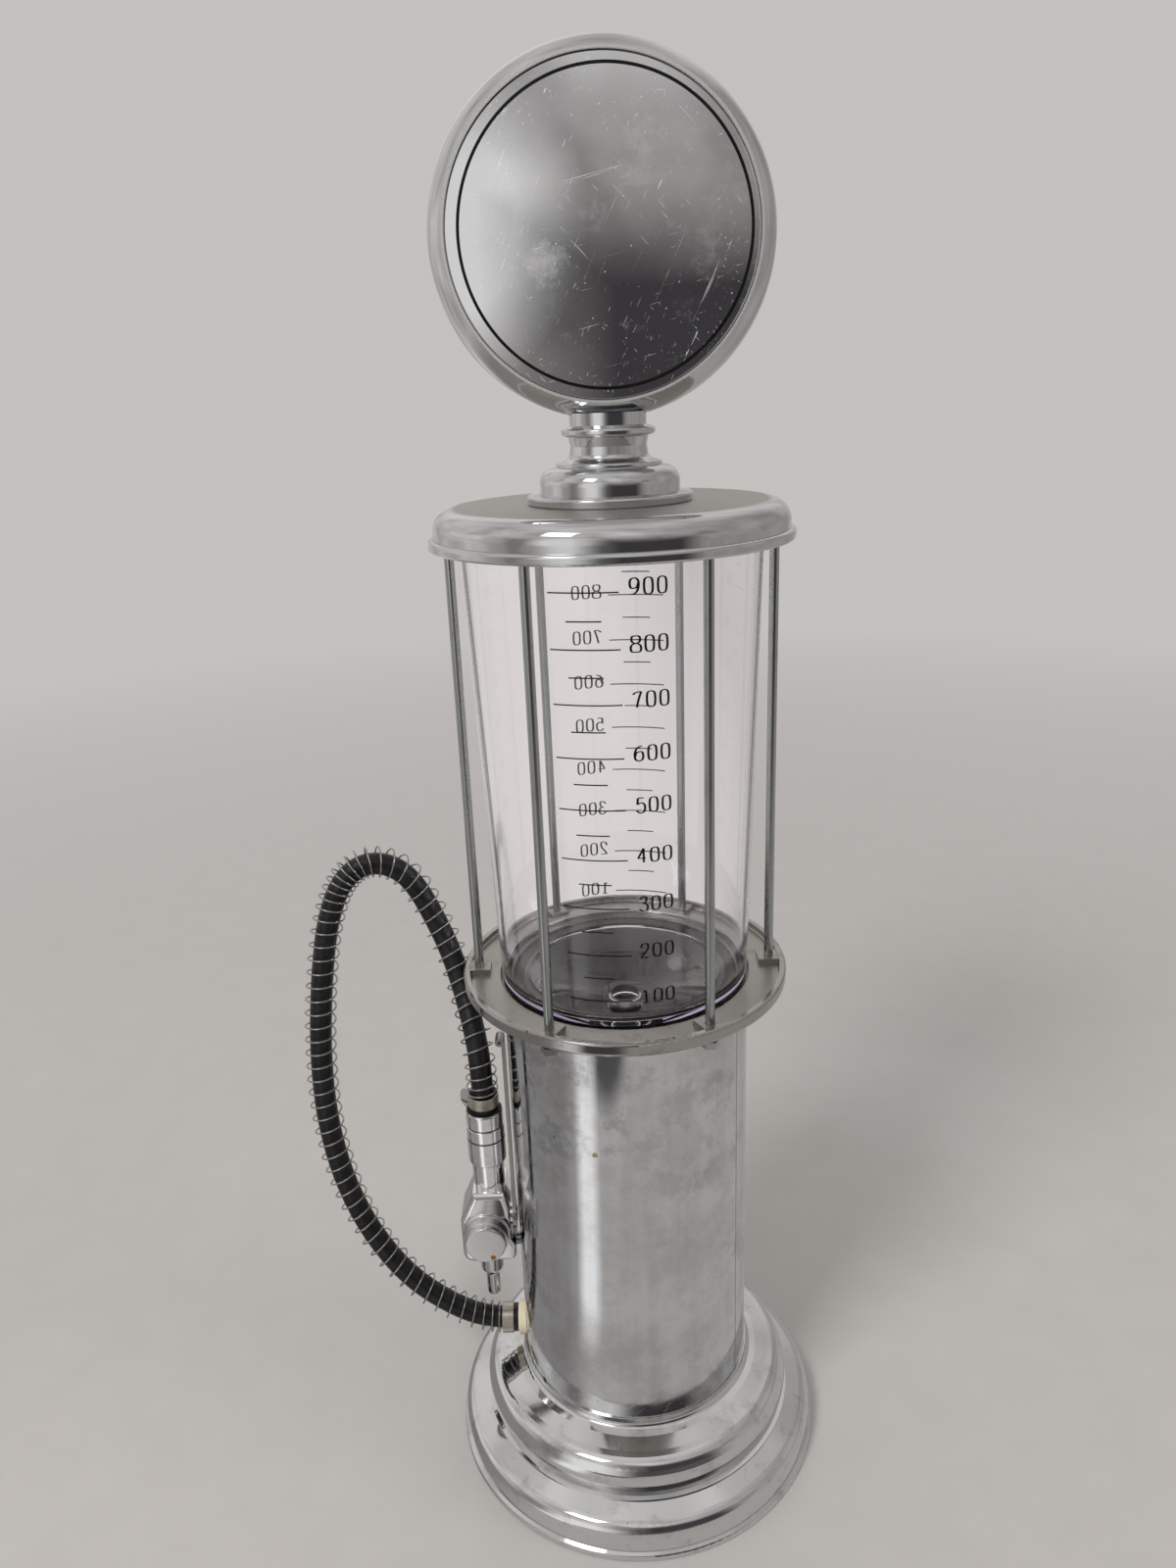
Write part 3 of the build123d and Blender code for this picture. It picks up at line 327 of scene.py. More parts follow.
# Finishes
def plated_metal(name, tint, stain_tint, gloss, haze, stain, pits):
    """Plated metal with hazy clouds, stains and small dark pits, of which pits gives the share."""
    material, tree, shader = new_material(name)
    clouds = noise(tree, place(tree), scale=24.0, detail=5.0, roughness=0.65)
    patches = noise(tree, place(tree), scale=70.0, detail=6.0, roughness=0.7)
    pitted = speckles(tree, 150.0, pits, solid=0.05, reach=0.11, depth=0.85)
    stained = rising(tree, patches, 0.54, 0.74, stain)
    colour = mixed(tree, stained, tint, stain_tint)
    colour = mixed(tree, pitted, colour, (0.05, 0.045, 0.04, 1.0))
    rough = ranged(tree, clouds, 0.35, 0.7, gloss, gloss + haze)
    rough = maths(tree, "ADD", rough, times(tree, pitted, 0.4))
    dents = bumped(tree, patches, 0.03 * MM, 0.3)
    feed(tree, shader, Base_Color=colour, Metallic=1.0, Roughness=rough, Normal=dents)
    return material


def overlaid(material, mask, tint, rough, metal=1.0):
    """Lay a second finish over a material, where a mask made from its tree is 1."""
    tree = material.node_tree
    shader = tree.nodes["Principled BSDF"]
    over = mask(tree)
    old_colour = shader.inputs["Base Color"].links[0].from_socket
    old_rough = shader.inputs["Roughness"].links[0].from_socket
    new_colour = mixed(tree, over, old_colour, tint)
    feed(tree, shader, Base_Color=new_colour, Roughness=mixed_value(tree, over, old_rough, rough))
    if metal < 1.0:
        socket = shader.inputs["Metallic"]
        old_metal = socket.links[0].from_socket if socket.links else socket.default_value
        feed(tree, shader, Metallic=mixed_value(tree, over, old_metal, metal))


def lid_flat(tree):
    """Mask the lid's hazy flat top, with a cloudy edge."""
    out = uneven(tree, axis_distance(tree), 40.0, 3.0 * MM)
    return fading(tree, out, lid_flat_radius, lid_flat_radius + cloudy_edge, 0.9)


def ring_channel(tree):
    """Mask the dull top of the ring inside its polished lip."""
    out = uneven(tree, axis_distance(tree), 60.0, 2.0 * MM)
    return fading(tree, out, ring_channel_radius, ring_channel_radius + cloudy_edge, 0.85)


def cast_stains(tree):
    """Mask the brown stains on the ring."""
    return rising(tree, noise(tree, place(tree), scale=85.0, detail=8.0, roughness=0.75), 0.54, 0.66, 0.6)


def face_wear(tree):
    """Mask the scratches on the sign's face, which are clearer in some places."""
    fine = scratches(tree, turn=0.45, grain=0.4 * MM, length_of_one=70.0 * MM, thin=0.70)
    crossing = scratches(tree, turn=-0.75, grain=0.35 * MM, length_of_one=50.0 * MM, thin=0.715)
    level = scratches(tree, turn=1.35, grain=0.4 * MM, length_of_one=60.0 * MM, thin=0.725)
    worn = ranged(tree, noise(tree, place(tree), scale=45.0), 0.46, 0.62, 0.1, 0.75)
    return times(tree, maths(tree, "MAXIMUM", maths(tree, "MAXIMUM", fine, crossing), level), worn)


def face_dust(tree):
    """Mask the fine pale specks all over the sign's face."""
    return speckles(tree, 520.0, 0.11, solid=0.06, reach=0.16, depth=0.55)


def face_smears(tree):
    """Mask the cloudy smears on the sign's face, and the worn patch left of its middle."""
    clouds = noise(tree, place(tree), scale=55.0, detail=8.0, roughness=0.75)
    clouds = rising(tree, clouds, 0.56, 0.74, 0.4)
    away = away_from(tree, place(tree), worn_point)
    away = uneven(tree, away, 160.0, worn_unevenness, detail=8.0, roughness=0.8)
    patch = fading(tree, away, worn_radius, worn_radius + worn_edge, 0.7)
    return maths(tree, "MAXIMUM", clouds, patch)


def satin_lip(tree):
    """Mask the worn flat lip that holds the sign's sheet."""
    from_axis = vector_maths(tree, "SUBTRACT", place(tree), sign_axis)
    out = length(tree, vector_maths(tree, "MULTIPLY", from_axis, (1.0, 0.0, 1.0)))
    inside = fading(tree, out, sheet_radius + 1.0 * MM, sheet_radius + 1.4 * MM)
    return times(tree, inside, rising(tree, out, sheet_radius + 0.2 * MM, sheet_radius + 0.5 * MM))


def column_haze(tree):
    """Mask the cloudy upright haze on the column."""
    streaks = noise(tree, stretched(tree, (160.0, 160.0, 9.0)), scale=1.0, detail=3.0, roughness=0.5)
    clouds = noise(tree, place(tree), scale=30.0, detail=5.0, roughness=0.7)
    return rising(tree, maths(tree, "ADD", times(tree, streaks, 0.35), clouds), 0.6, 0.84, 0.8)


def column_smudges(tree):
    """Mask the dark smudges on the column."""
    smudges = noise(tree, place(tree), scale=48.0, detail=9.0, roughness=0.7)
    where = rising(tree, noise(tree, place(tree), scale=12.0, detail=2.0, roughness=0.5), 0.4, 0.56)
    return times(tree, rising(tree, smudges, 0.51, 0.58, 0.5), where)


def column_seam(tree):
    """Mask the fine upright seam at the column's right side."""
    point = along_axes(tree, place(tree))
    line = fading(tree, off_value(tree, point["X"], seam_x), seam_solid, seam_reach, 0.7)
    return times(tree, line, maths(tree, "LESS_THAN", point["Y"], 0.0))


def column_scuffs(tree):
    """Mask the slanting scuffs low on the column's front."""
    lines = scratches(tree, turn=0.9, grain=0.7 * MM, length_of_one=20.0 * MM, thin=0.66)
    up = along_axes(tree, place(tree))["Z"]
    return times(tree, lines, fading(tree, up, scuffs_solid, scuffs_top, 0.8))


def column_drip(tree):
    """Mask the dried drip on the column."""
    return near_point(tree, drip_point, drip_radius)


def outlet_rim(tree):
    """Mask the pale rim of the drain on top of the tailpiece."""
    out = axis_distance(tree)
    inside = fading(tree, out, 5.7 * MM, 5.9 * MM)
    band = times(tree, inside, rising(tree, out, 4.7 * MM, 4.9 * MM))
    up = along_axes(tree, place(tree))["Z"]
    return times(tree, band, maths(tree, "GREATER_THAN", up, outlet_top - 0.5 * MM))


def collar_joint(tree):
    """Mask the painted shade in the joint gaps at both ends of the nozzle's collar."""
    up = along_axes(tree, place(tree))["Z"]
    off_joint = maths(tree, "MINIMUM", off_value(tree, up, collar_low), off_value(tree, up, collar_top))
    off_joint = uneven(tree, off_joint, 500.0, joint_unevenness)
    return fading(tree, off_joint, joint_solid, joint_reach, 0.95)


def cap_chip(tree):
    """Mask the chip in the plating of the valve's cap."""
    return near_point(tree, chip_point, chip_radius)


def ribbed_band(name, axis):
    """Ribbed metal of a band round the hose's end, with ribs that follow each other along an axis."""
    tint = (0.58, 0.54, 0.46, 1.0)
    stain_tint = (0.40, 0.35, 0.27, 1.0)
    material = plated_metal(name, tint, stain_tint, gloss=0.2, haze=0.15, stain=0.5, pits=0.02)
    tree = material.node_tree
    wave = {"Vector": place(tree), "Scale": 2 * pi / (20 * band_rib)}
    ribs = add(tree, "TexWave", wave, bands_direction=axis).outputs["Fac"]
    feed(tree, tree.nodes["Principled BSDF"], Normal=bumped(tree, ribs, 0.12 * MM, 0.9))
    return material


def clear_plastic(name, body_density):
    """Clear plastic with a faint violet tint and hazy smears, which lets lamps through."""
    material, tree, shader = new_material(name)
    smears = noise(tree, stretched(tree, (30.0, 30.0, 9.0)), scale=1.0)
    feed(
        tree,
        shader,
        Base_Color=(0.99, 0.988, 0.994, 1.0),
        Roughness=rising(tree, smears, 0.45, 0.75, 0.012),
        IOR=1.47,
        Transmission_Weight=1.0,
    )
    output = tree.nodes["Material Output"]
    body = add(tree, "VolumeAbsorption", {"Color": (0.68, 0.58, 0.82, 1.0), "Density": body_density})
    tree.links.new(body.outputs["Volume"], output.inputs["Volume"])
    for_lamps = add(tree, "LightPath").outputs["Is Shadow Ray"]
    see_through = add(tree, "BsdfTransparent", {"Color": (0.93, 0.93, 0.94, 1.0)}).outputs["BSDF"]
    both = add(tree, "MixShader", {0: for_lamps, 1: shader.outputs["BSDF"], 2: see_through})
    tree.links.new(both.outputs["Shader"], output.inputs["Surface"])
    return material


def soft_plain(name, tint, other_tint, gloss, grain_scale, bump, shine=0.5):
    """Rubber, plastic, felt or ink, with a mottled colour and a grain."""
    material, tree, shader = new_material(name)
    mottle = noise(tree, place(tree), grain_scale * 0.2)
    grain = noise(tree, place(tree), grain_scale, detail=3.0, roughness=0.5)
    feed(
        tree,
        shader,
        Base_Color=mixed(tree, rising(tree, mottle, 0.35, 0.7), tint, other_tint),
        Roughness=ranged(tree, grain, 0.3, 0.75, gloss, gloss + 0.18),
        Specular_IOR_Level=shine,
        Normal=bumped(tree, grain, bump, 0.5),
    )
    return material


# Chromes
light_chrome = (0.60, 0.60, 0.605, 1.0)
chrome_stain = (0.44, 0.41, 0.37, 1.0)
chrome = plated_metal("chrome", light_chrome, chrome_stain, gloss=0.02, haze=0.06, stain=0.4, pits=0.012)
column_chrome = plated_metal(
    "column chrome",
    tint=(0.69, 0.695, 0.705, 1.0),
    stain_tint=(0.52, 0.50, 0.47, 1.0),
    gloss=0.03,
    haze=0.07,
    stain=0.5,
    pits=0.02,
)
overlaid(column_chrome, column_haze, tint=(0.50, 0.495, 0.485, 1.0), rough=0.17)
overlaid(column_chrome, column_smudges, tint=(0.33, 0.335, 0.34, 1.0), rough=0.28)
overlaid(column_chrome, column_scuffs, tint=(0.7, 0.7, 0.7, 1.0), rough=0.4)
overlaid(column_chrome, column_seam, tint=(0.2, 0.2, 0.2, 1.0), rough=0.4)
overlaid(column_chrome, column_drip, tint=(0.44, 0.40, 0.22, 1.0), rough=0.5)
lid_chrome = plated_metal(
    "lid chrome", light_chrome, chrome_stain, gloss=0.025, haze=0.06, stain=0.5, pits=0.012
)
overlaid(lid_chrome, lid_flat, tint=(0.42, 0.40, 0.37, 1.0), rough=0.5)
foot_chrome = plated_metal(
    "foot chrome",
    tint=(0.70, 0.70, 0.70, 1.0),
    stain_tint=(0.36, 0.32, 0.27, 1.0),
    gloss=0.03,
    haze=0.1,
    stain=0.75,
    pits=0.03,
)
rim_chrome = plated_metal(
    "rim chrome", light_chrome, chrome_stain, gloss=0.02, haze=0.06, stain=0.4, pits=0.012
)
overlaid(rim_chrome, satin_lip, tint=(0.84, 0.83, 0.81, 1.0), rough=0.62)
mirror_sheet = plated_metal(
    "mirror sheet",
    tint=(0.64, 0.64, 0.65, 1.0),
    stain_tint=chrome_stain,
    gloss=0.02,
    haze=0.05,
    stain=0.2,
    pits=0.004,
)
overlaid(mirror_sheet, face_smears, tint=(0.66, 0.66, 0.66, 1.0), rough=0.3, metal=0.55)
overlaid(mirror_sheet, face_dust, tint=(0.7, 0.7, 0.7, 1.0), rough=0.5, metal=0.0)
overlaid(mirror_sheet, face_wear, tint=(0.78, 0.78, 0.78, 1.0), rough=0.5, metal=0.0)

# Other metals
cast_metal = plated_metal(
    "cast metal",
    tint=(0.41, 0.40, 0.38, 1.0),
    stain_tint=(0.36, 0.33, 0.28, 1.0),
    gloss=0.08,
    haze=0.15,
    stain=0.7,
    pits=0.04,
)
overlaid(cast_metal, ring_channel, tint=(0.38, 0.37, 0.34, 1.0), rough=0.36)
overlaid(cast_metal, cast_stains, tint=(0.24, 0.22, 0.18, 1.0), rough=0.42)
zinc = plated_metal(
    "zinc",
    tint=(0.42, 0.44, 0.43, 1.0),
    stain_tint=(0.30, 0.295, 0.265, 1.0),
    gloss=0.17,
    haze=0.16,
    stain=0.7,
    pits=0.02,
)
nickel = plated_metal(
    "nickel",
    tint=(0.40, 0.39, 0.365, 1.0),
    stain_tint=(0.25, 0.235, 0.205, 1.0),
    gloss=0.2,
    haze=0.15,
    stain=0.5,
    pits=0.0,
)
lower_band = ribbed_band("lower band", "X")
upper_band = ribbed_band("upper band", "Z")
nozzle_metal = plated_metal(
    "nozzle metal",
    tint=(0.68, 0.68, 0.68, 1.0),
    stain_tint=(0.36, 0.33, 0.29, 1.0),
    gloss=0.05,
    haze=0.12,
    stain=0.5,
    pits=0.03,
)
# Brighter than the other chrome: painted light for the white wall that the barrel shows at its left
barrel_metal_painted_bright = plated_metal(
    "barrel metal painted bright",
    tint=(0.84, 0.84, 0.84, 1.0),
    stain_tint=(0.42, 0.39, 0.35, 1.0),
    gloss=0.04,
    haze=0.1,
    stain=0.5,
    pits=0.03,
)
# Near-black painted shade in the joint gaps at both ends of the collar
overlaid(barrel_metal_painted_bright, collar_joint, tint=(0.025, 0.023, 0.022, 1.0), rough=0.6)
# Darker than the other metals: painted shade for the dark gap between nozzle and column that the peg shows
peg_metal_painted_dark = plated_metal(
    "peg metal painted dark",
    tint=(0.30, 0.30, 0.305, 1.0),
    stain_tint=(0.16, 0.15, 0.14, 1.0),
    gloss=0.12,
    haze=0.15,
    stain=0.6,
    pits=0.03,
)
cap_metal = plated_metal(
    "cap metal",
    tint=(0.62, 0.615, 0.61, 1.0),
    stain_tint=(0.46, 0.44, 0.41, 1.0),
    gloss=0.2,
    haze=0.16,
    stain=0.5,
    pits=0.02,
)
overlaid(cap_metal, cap_chip, tint=(0.42, 0.19, 0.04, 1.0), rough=0.55)

# Plastics, rubber, felt and ink
clear = clear_plastic("clear plastic", body_density=20.0)
clear_tube = clear_plastic("clear tube", body_density=12.0)
rubber = soft_plain(
    "black rubber",
    tint=(0.006, 0.006, 0.0065, 1.0),
    other_tint=(0.012, 0.012, 0.013, 1.0),
    gloss=0.3,
    grain_scale=900.0,
    bump=0.02 * MM,
    shine=0.35,
)
outlet_rubber = soft_plain(
    "outlet rubber",
    tint=(0.006, 0.006, 0.006, 1.0),
    other_tint=(0.012, 0.012, 0.012, 1.0),
    gloss=0.4,
    grain_scale=900.0,
    bump=0.01 * MM,
)
overlaid(outlet_rubber, outlet_rim, tint=(0.72, 0.70, 0.70, 1.0), rough=0.3)
cream = soft_plain(
    "cream plastic",
    tint=(0.74, 0.66, 0.50, 1.0),
    other_tint=(0.66, 0.57, 0.42, 1.0),
    gloss=0.35,
    grain_scale=600.0,
    bump=0.02 * MM,
)
felt = soft_plain(
    "felt",
    tint=(0.06, 0.07, 0.06, 1.0),
    other_tint=(0.09, 0.10, 0.09, 1.0),
    gloss=0.8,
    grain_scale=1500.0,
    bump=0.2 * MM,
)
ink = soft_plain(
    "ink",
    tint=(0.004, 0.004, 0.004, 1.0),
    other_tint=(0.01, 0.009, 0.009, 1.0),
    gloss=0.55,
    grain_scale=1200.0,
    bump=0.005 * MM,
    shine=0.12,
)

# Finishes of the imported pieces, by their slot in the record, and then of pieces with their own
slot_materials = {
    "chrome": chrome,
    "mirror_sheet": mirror_sheet,
    "cast_metal": cast_metal,
    "zinc": zinc,
    "clear_plastic": clear,
    "clear_tube": clear_tube,
    "black_rubber": rubber,
    "nickel": nickel,
    "ferrule_brass": lower_band,
    "nozzle_metal": nozzle_metal,
    "cream_plastic": cream,
    "felt": felt,
}
for entry in frame["record"]["subparts"]:
    for place_in_node in nodes[entry["node"]].material_slots:
        place_in_node.material = slot_materials[entry["material_slot"]]
own_materials = {
    "lid": lid_chrome,
    "base_foot": foot_chrome,
    "sign_rim": rim_chrome,
    "column_tube": column_chrome,
    "hose_ferrule_upper": upper_band,
    "valve_cap": cap_metal,
    "nozzle_collar": barrel_metal_painted_bright,
    "nozzle_body": barrel_metal_painted_bright,
    "nozzle_peg": peg_metal_painted_dark,
    "outlet_tailpiece": outlet_rubber,
}
for name, material in own_materials.items():
    nodes[name].material_slots[0].material = material


# Pieces made here
def piece(name, mesh, material):
    """Put a mesh in the scene as a smooth piece with its material."""
    made = bpy.data.objects.new(name, mesh)
    scene.collection.objects.link(made)
    mesh.materials.clear()
    mesh.materials.append(material)
    mesh.shade_smooth()
    return made


def finished(name, made_bm):
    """Turn a bmesh into a mesh."""
    mesh = bpy.data.meshes.new(name)
    made_bm.to_mesh(mesh)
    made_bm.free()
    return mesh


def curve_mesh(name, lines, radius=0.0, sides=0, steps=12, nib=0.0):
    """Make the mesh of smooth curves through corners: tubes, flat strokes of a nib, or bare lines."""
    curve = bpy.data.curves.new(name, "CURVE")
    curve.dimensions = "3D"
    curve.resolution_u = steps
    curve.bevel_depth = radius
    curve.bevel_resolution = sides
    curve.use_fill_caps = True
    for corners in lines:
        spline = curve.splines.new("NURBS")
        spline.points.add(len(corners) - 1)
        for point, corner in zip(spline.points, corners):
            point.co = (*corner, 1.0)
        spline.order_u = min(3, len(corners))
        spline.use_endpoint_u = True
    holder = bpy.data.objects.new(name, curve)
    scene.collection.objects.link(holder)
    if nib:
        edge_curve = bpy.data.curves.new("nib", "CURVE")
        edge_line = edge_curve.splines.new("POLY")
        edge_line.points.add(1)
        edge_line.points[0].co = (-nib / 2, 0.0, 0.0, 1.0)
        edge_line.points[1].co = (nib / 2, 0.0, 0.0, 1.0)
        nib_holder = bpy.data.objects.new("nib", edge_curve)
        scene.collection.objects.link(nib_holder)
        curve.twist_mode = "Z_UP"
        curve.bevel_mode = "OBJECT"
        curve.bevel_object = nib_holder
    bpy.context.view_layer.update()
    mesh = bpy.data.meshes.new_from_object(holder.evaluated_get(bpy.context.evaluated_depsgraph_get()))
    mesh.name = name
    bpy.data.objects.remove(holder)
    bpy.data.curves.remove(curve)
    if nib:
        bpy.data.objects.remove(nib_holder)
        bpy.data.curves.remove(edge_curve)
    return mesh


# Hose
route = [hose_point(*corner) for corner in hose_corners]
hose_line = [vertex.co.copy() for vertex in curve_mesh("hose_line", [route]).vertices]
hose_lengths = [0.0]
for first, second in zip(hose_line, hose_line[1:]):
    hose_lengths.append(hose_lengths[-1] + (second - first).length)
hose_length = hose_lengths[-1]
hose_mesh = curve_mesh("hose_tube", [route], radius=hose_radius, sides=6, steps=10)
hose = piece("hose_tube", hose_mesh, rubber)
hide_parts("hose")


def line_at(along):
    """Give the point and the direction of the hose's line at a length along it."""
    index = 0
    while index < len(hose_lengths) - 2 and hose_lengths[index + 1] < along:
        index += 1
    share = (along - hose_lengths[index]) / (hose_lengths[index + 1] - hose_lengths[index])
    point = hose_line[index].lerp(hose_line[index + 1], share)
    return point, (hose_line[index + 1] - hose_line[index]).normalized()


# Wire spring wound round the hose, with closer turns at both ends, bunched and lifted at the loop's top
ferrule_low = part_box("hose_ferrule_lower")[0]
ferrule_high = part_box("hose_ferrule_upper")[1]
wound_start = hose_line[0].x - ferrule_low.x + spring_clearance
wound_end = hose_length - (ferrule_high.z - hose_line[-1].z) - spring_clearance
highest = max(range(len(hose_line)), key=lambda index: hose_line[index].z)
bunch_at = hose_lengths[highest] - bunch_before_top
loop_middle = sum(hose_line, Vector()) / len(hose_line)
wound = []
along = wound_start
turned = 0.0
side = line_at(along)[1].cross(Vector((0.0, 1.0, 0.0))).normalized()
while along < wound_end:
    centre, way = line_at(along)
    closing = exp(-(along - wound_start) / spring_closing) + exp(-(wound_end - along) / spring_closing)
    outward = centre - loop_middle
    outward = (outward - way * outward.dot(way)).normalized()
    centre = centre + outward * max(0.0, outward.z) * spring_lift * max(0.0, 1.0 - closing)
    side = (side - way * side.dot(way)).normalized()
    wound.append(centre + (side * cos(turned) + way.cross(side) * sin(turned)) * spring_radius)
    pitch = spring_pitch - (spring_pitch - spring_end_pitch) * closing
    bunched = 1.0 - spring_bunch * exp(-(((along - bunch_at) / bunch_spread) ** 2))
    along += pitch * bunched / steps_per_turn
    turned += 2 * pi / steps_per_turn
spring_mesh = curve_mesh("hose_wire", [wound], radius=spring_wire, sides=2, steps=1)
spring = piece("hose_wire", spring_mesh, nickel)
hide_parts("hose_spring")
for flexible in (hose, spring):
    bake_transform(flexible)

# Printed scale on the canister
canister_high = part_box("canister")[1]
seat_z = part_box("shelf_ring")[1].z - canister_seat_drop
mouth_radius = canister_high.x
foot_radius = mouth_radius - canister_taper


def on_canister(sideways, up):
    """Place a printed point on the canister's wall, sideways from the scale's line."""
    share = (up - seat_z) / (canister_high.z - seat_z)
    radius = foot_radius + (mouth_radius - foot_radius) * share + print_height
    turn = scale_turn + sideways / radius
    return Vector((radius * cos(turn), radius * sin(turn), up))


# Strokes of the digits, as corners of smooth lines in shares of their width and height
digit_strokes = {
    "0": [
        [(0.5, 1.0), (0.12, 1.0), (0.0, 0.72), (0.0, 0.28), (0.12, 0.0), (0.5, 0.0)],
        [(0.5, 1.0), (0.88, 1.0), (1.0, 0.72), (1.0, 0.28), (0.88, 0.0), (0.5, 0.0)],
    ],
    "1": [
        [(0.15, 0.84), (0.4, 0.88), (0.55, 1.0), (0.55, 0.0)],
        [(0.2, 0.0), (0.9, 0.0)],
    ],
    "2": [
        [(0.08, 0.74), (0.05, 1.0), (0.95, 1.1), (0.98, 0.62), (0.4, 0.3), (0.05, 0.0)],
        [(0.05, 0.0), (1.0, 0.0)],
    ],
    "3": [
        [(0.08, 0.84), (0.2, 1.02), (0.95, 1.06), (0.85, 0.54), (0.35, 0.54)],
        [(0.35, 0.54), (1.0, 0.56), (1.1, 0.0), (0.3, -0.06), (0.05, 0.14)],
    ],
    "4": [
        [(0.72, 0.0), (0.72, 1.0)],
        [(0.72, 1.0), (0.02, 0.3)],
        [(0.02, 0.3), (1.0, 0.3)],
    ],
    "5": [
        [(0.95, 1.0), (0.2, 1.0)],
        [(0.2, 1.0), (0.14, 0.55)],
        [(0.14, 0.55), (0.5, 0.72), (1.1, 0.55), (1.0, 0.0), (0.3, -0.06), (0.05, 0.14)],
    ],
    "6": [
        [(0.9, 0.98), (0.3, 0.95), (-0.05, 0.5), (0.05, 0.0), (0.5, 0.0)],
        [(0.5, 0.0), (1.0, 0.0), (1.0, 0.6), (0.55, 0.62), (0.1, 0.55), (0.06, 0.3)],
    ],
    "7": [
        [(0.05, 0.82), (0.1, 1.0), (0.98, 1.0)],
        [(0.98, 1.0), (0.6, 0.55), (0.42, 0.0)],
    ],
    "8": [
        [(0.5, 0.54), (0.0, 0.56), (0.0, 1.0), (0.5, 1.0), (1.0, 1.0), (1.0, 0.56), (0.5, 0.54)],
        [(0.5, 0.54), (-0.1, 0.5), (-0.1, 0.0), (0.5, 0.0), (1.1, 0.0), (1.1, 0.5), (0.5, 0.54)],
    ],
    "9": [
        [(0.1, 0.02), (0.7, 0.05), (1.05, 0.5), (0.95, 1.0), (0.5, 1.0)],
        [(0.5, 1.0), (0.0, 1.0), (0.0, 0.4), (0.45, 0.38), (0.9, 0.45), (0.94, 0.7)],
    ],
}

# The strokes are drawn flat, narrowed and spread again for the nib, then laid on the canister, and
# once more on its far side
scale_rise = scale_top - scale_bottom
line_strokes = []
number_strokes = []
for milliliters in range(scale_low_ml, scale_high_ml + 1, line_step_ml):
    numbered = milliliters % number_step_ml == 0
    up = scale_bottom + scale_rise * (milliliters - scale_low_ml) / (scale_high_ml - scale_low_ml)
    half_line = (long_line if numbered else short_line) / 2
    line_strokes.append([(-half_line, up, 0.0), (0.0, up, 0.0), (half_line, up, 0.0)])
    if not numbered:
        continue
    base = up - digit_drop
    for place_in_number, digit in enumerate(str(milliliters)):
        left = half_line + digit_gap + place_in_number * digit_step
        for stroke in digit_strokes[digit]:
            flat = [(left + x * digit_width, base + y * digit_height) for x, y in stroke]
            number_strokes.append([(x / nib_spread, y, 0.0) for x, y in flat])
numbers_mesh = curve_mesh("scale_numbers", number_strokes, steps=stroke_steps, nib=nib_width)
numbers_mesh.transform(Matrix.Diagonal((nib_spread, 1.0, 1.0, 1.0)))
scale_bm = bmesh.new()
scale_bm.from_mesh(curve_mesh("scale_lines", line_strokes, steps=stroke_steps, nib=line_width))
scale_bm.from_mesh(numbers_mesh)
for vertex in scale_bm.verts:
    vertex.co = on_canister(vertex.co.x, vertex.co.y)
behind = bmesh.ops.duplicate(scale_bm, geom=scale_bm.verts[:] + scale_bm.edges[:] + scale_bm.faces[:])
bmesh.ops.rotate(
    scale_bm,
    verts=[part for part in behind["geom"] if isinstance(part, bmesh.types.BMVert)],
    cent=(0.0, 0.0, 0.0),
    matrix=Matrix.Rotation(pi, 3, "Z"),
)
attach(piece("printed_scale", finished("printed_scale", scale_bm), ink), "pump")

# Printed ring on the sign's front face
ball_radius = (sheet_radius**2 + face_dome**2) / (2 * face_dome)


def on_face(radius):
    """Give the depth of the domed face at a distance from its middle."""
    return sign_low.y + ball_radius - (ball_radius**2 - radius**2) ** 0.5 - print_height


ring_bm = bmesh.new()
inner = face_ring_radius - face_ring_width / 2
outer = face_ring_radius + face_ring_width / 2
section = [ring_bm.verts.new((radius, on_face(radius), sign_axis.z)) for radius in (inner, outer)]
edge = ring_bm.edges.new(section)
bmesh.ops.spin(
    ring_bm,
    geom=[edge, *section],
    cent=(0.0, 0.0, sign_axis.z),
    axis=(0.0, 1.0, 0.0),
    angle=2 * pi,
    steps=face_ring_steps,
    use_merge=True,
)
bmesh.ops.translate(ring_bm, verts=ring_bm.verts, vec=(face_ring_shift, 0.0, 0.0))
for vertex in ring_bm.verts:
    vertex.co.y = on_face(((vertex.co - sign_axis) * Vector((1.0, 0.0, 1.0))).length)
bmesh.ops.recalc_face_normals(ring_bm, faces=ring_bm.faces)
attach(piece("printed_ring", finished("printed_ring", ring_bm), ink), "topper")

# Tints of the backdrop, and of what shows through the clear plastic, which is dimmer at the right
backdrop_tint = (0.55, 0.53, 0.515, 1.0)
glass_backdrop = (0.74, 0.71, 0.68, 1.0)
glass_shade = (0.56, 0.535, 0.51, 1.0)
white = (1.0, 1.0, 1.0, 1.0)

# Floor: how far from the axis its changes start and end, and the painted shadow, painted shade and painted
# glare that the metal shows on it
floor_size = 12.0
backdrop_reach = (0.35, 1.6)
glass_reach = (0.1, 0.4)
glass_shade_reach = (0.02, 0.3)
table_edge = (0.5, 0.85)
table_tint = (0.44, 0.43, 0.42, 1.0)
table_share = 0.5
# Painted shadow spot and painted shade on the table's left side, which only the metal shows
shadow_spot_place = (-0.14, -0.39, 0.0)
shadow_spot_size = (0.13, 0.13, 1.0)
shadow_spot_tint = (0.05, 0.048, 0.052, 1.0)
left_shade_bearing = (-1.05, -0.7)
left_shade_tint = (0.13, 0.13, 0.135, 1.0)
glare_turn = radians(-39.0)
glare_width = (0.07, 0.2)
glare_start = (0.1, 0.13)


def glowing(tree, under, mask, tint, strength=1.0):
    """Lay a plain glow over a shader where a mask is 1."""
    glow = add(tree, "Emission", {"Color": tint, "Strength": strength}).outputs["Emission"]
    return add(tree, "MixShader", {0: mask, 1: under, 2: glow}).outputs["Shader"]


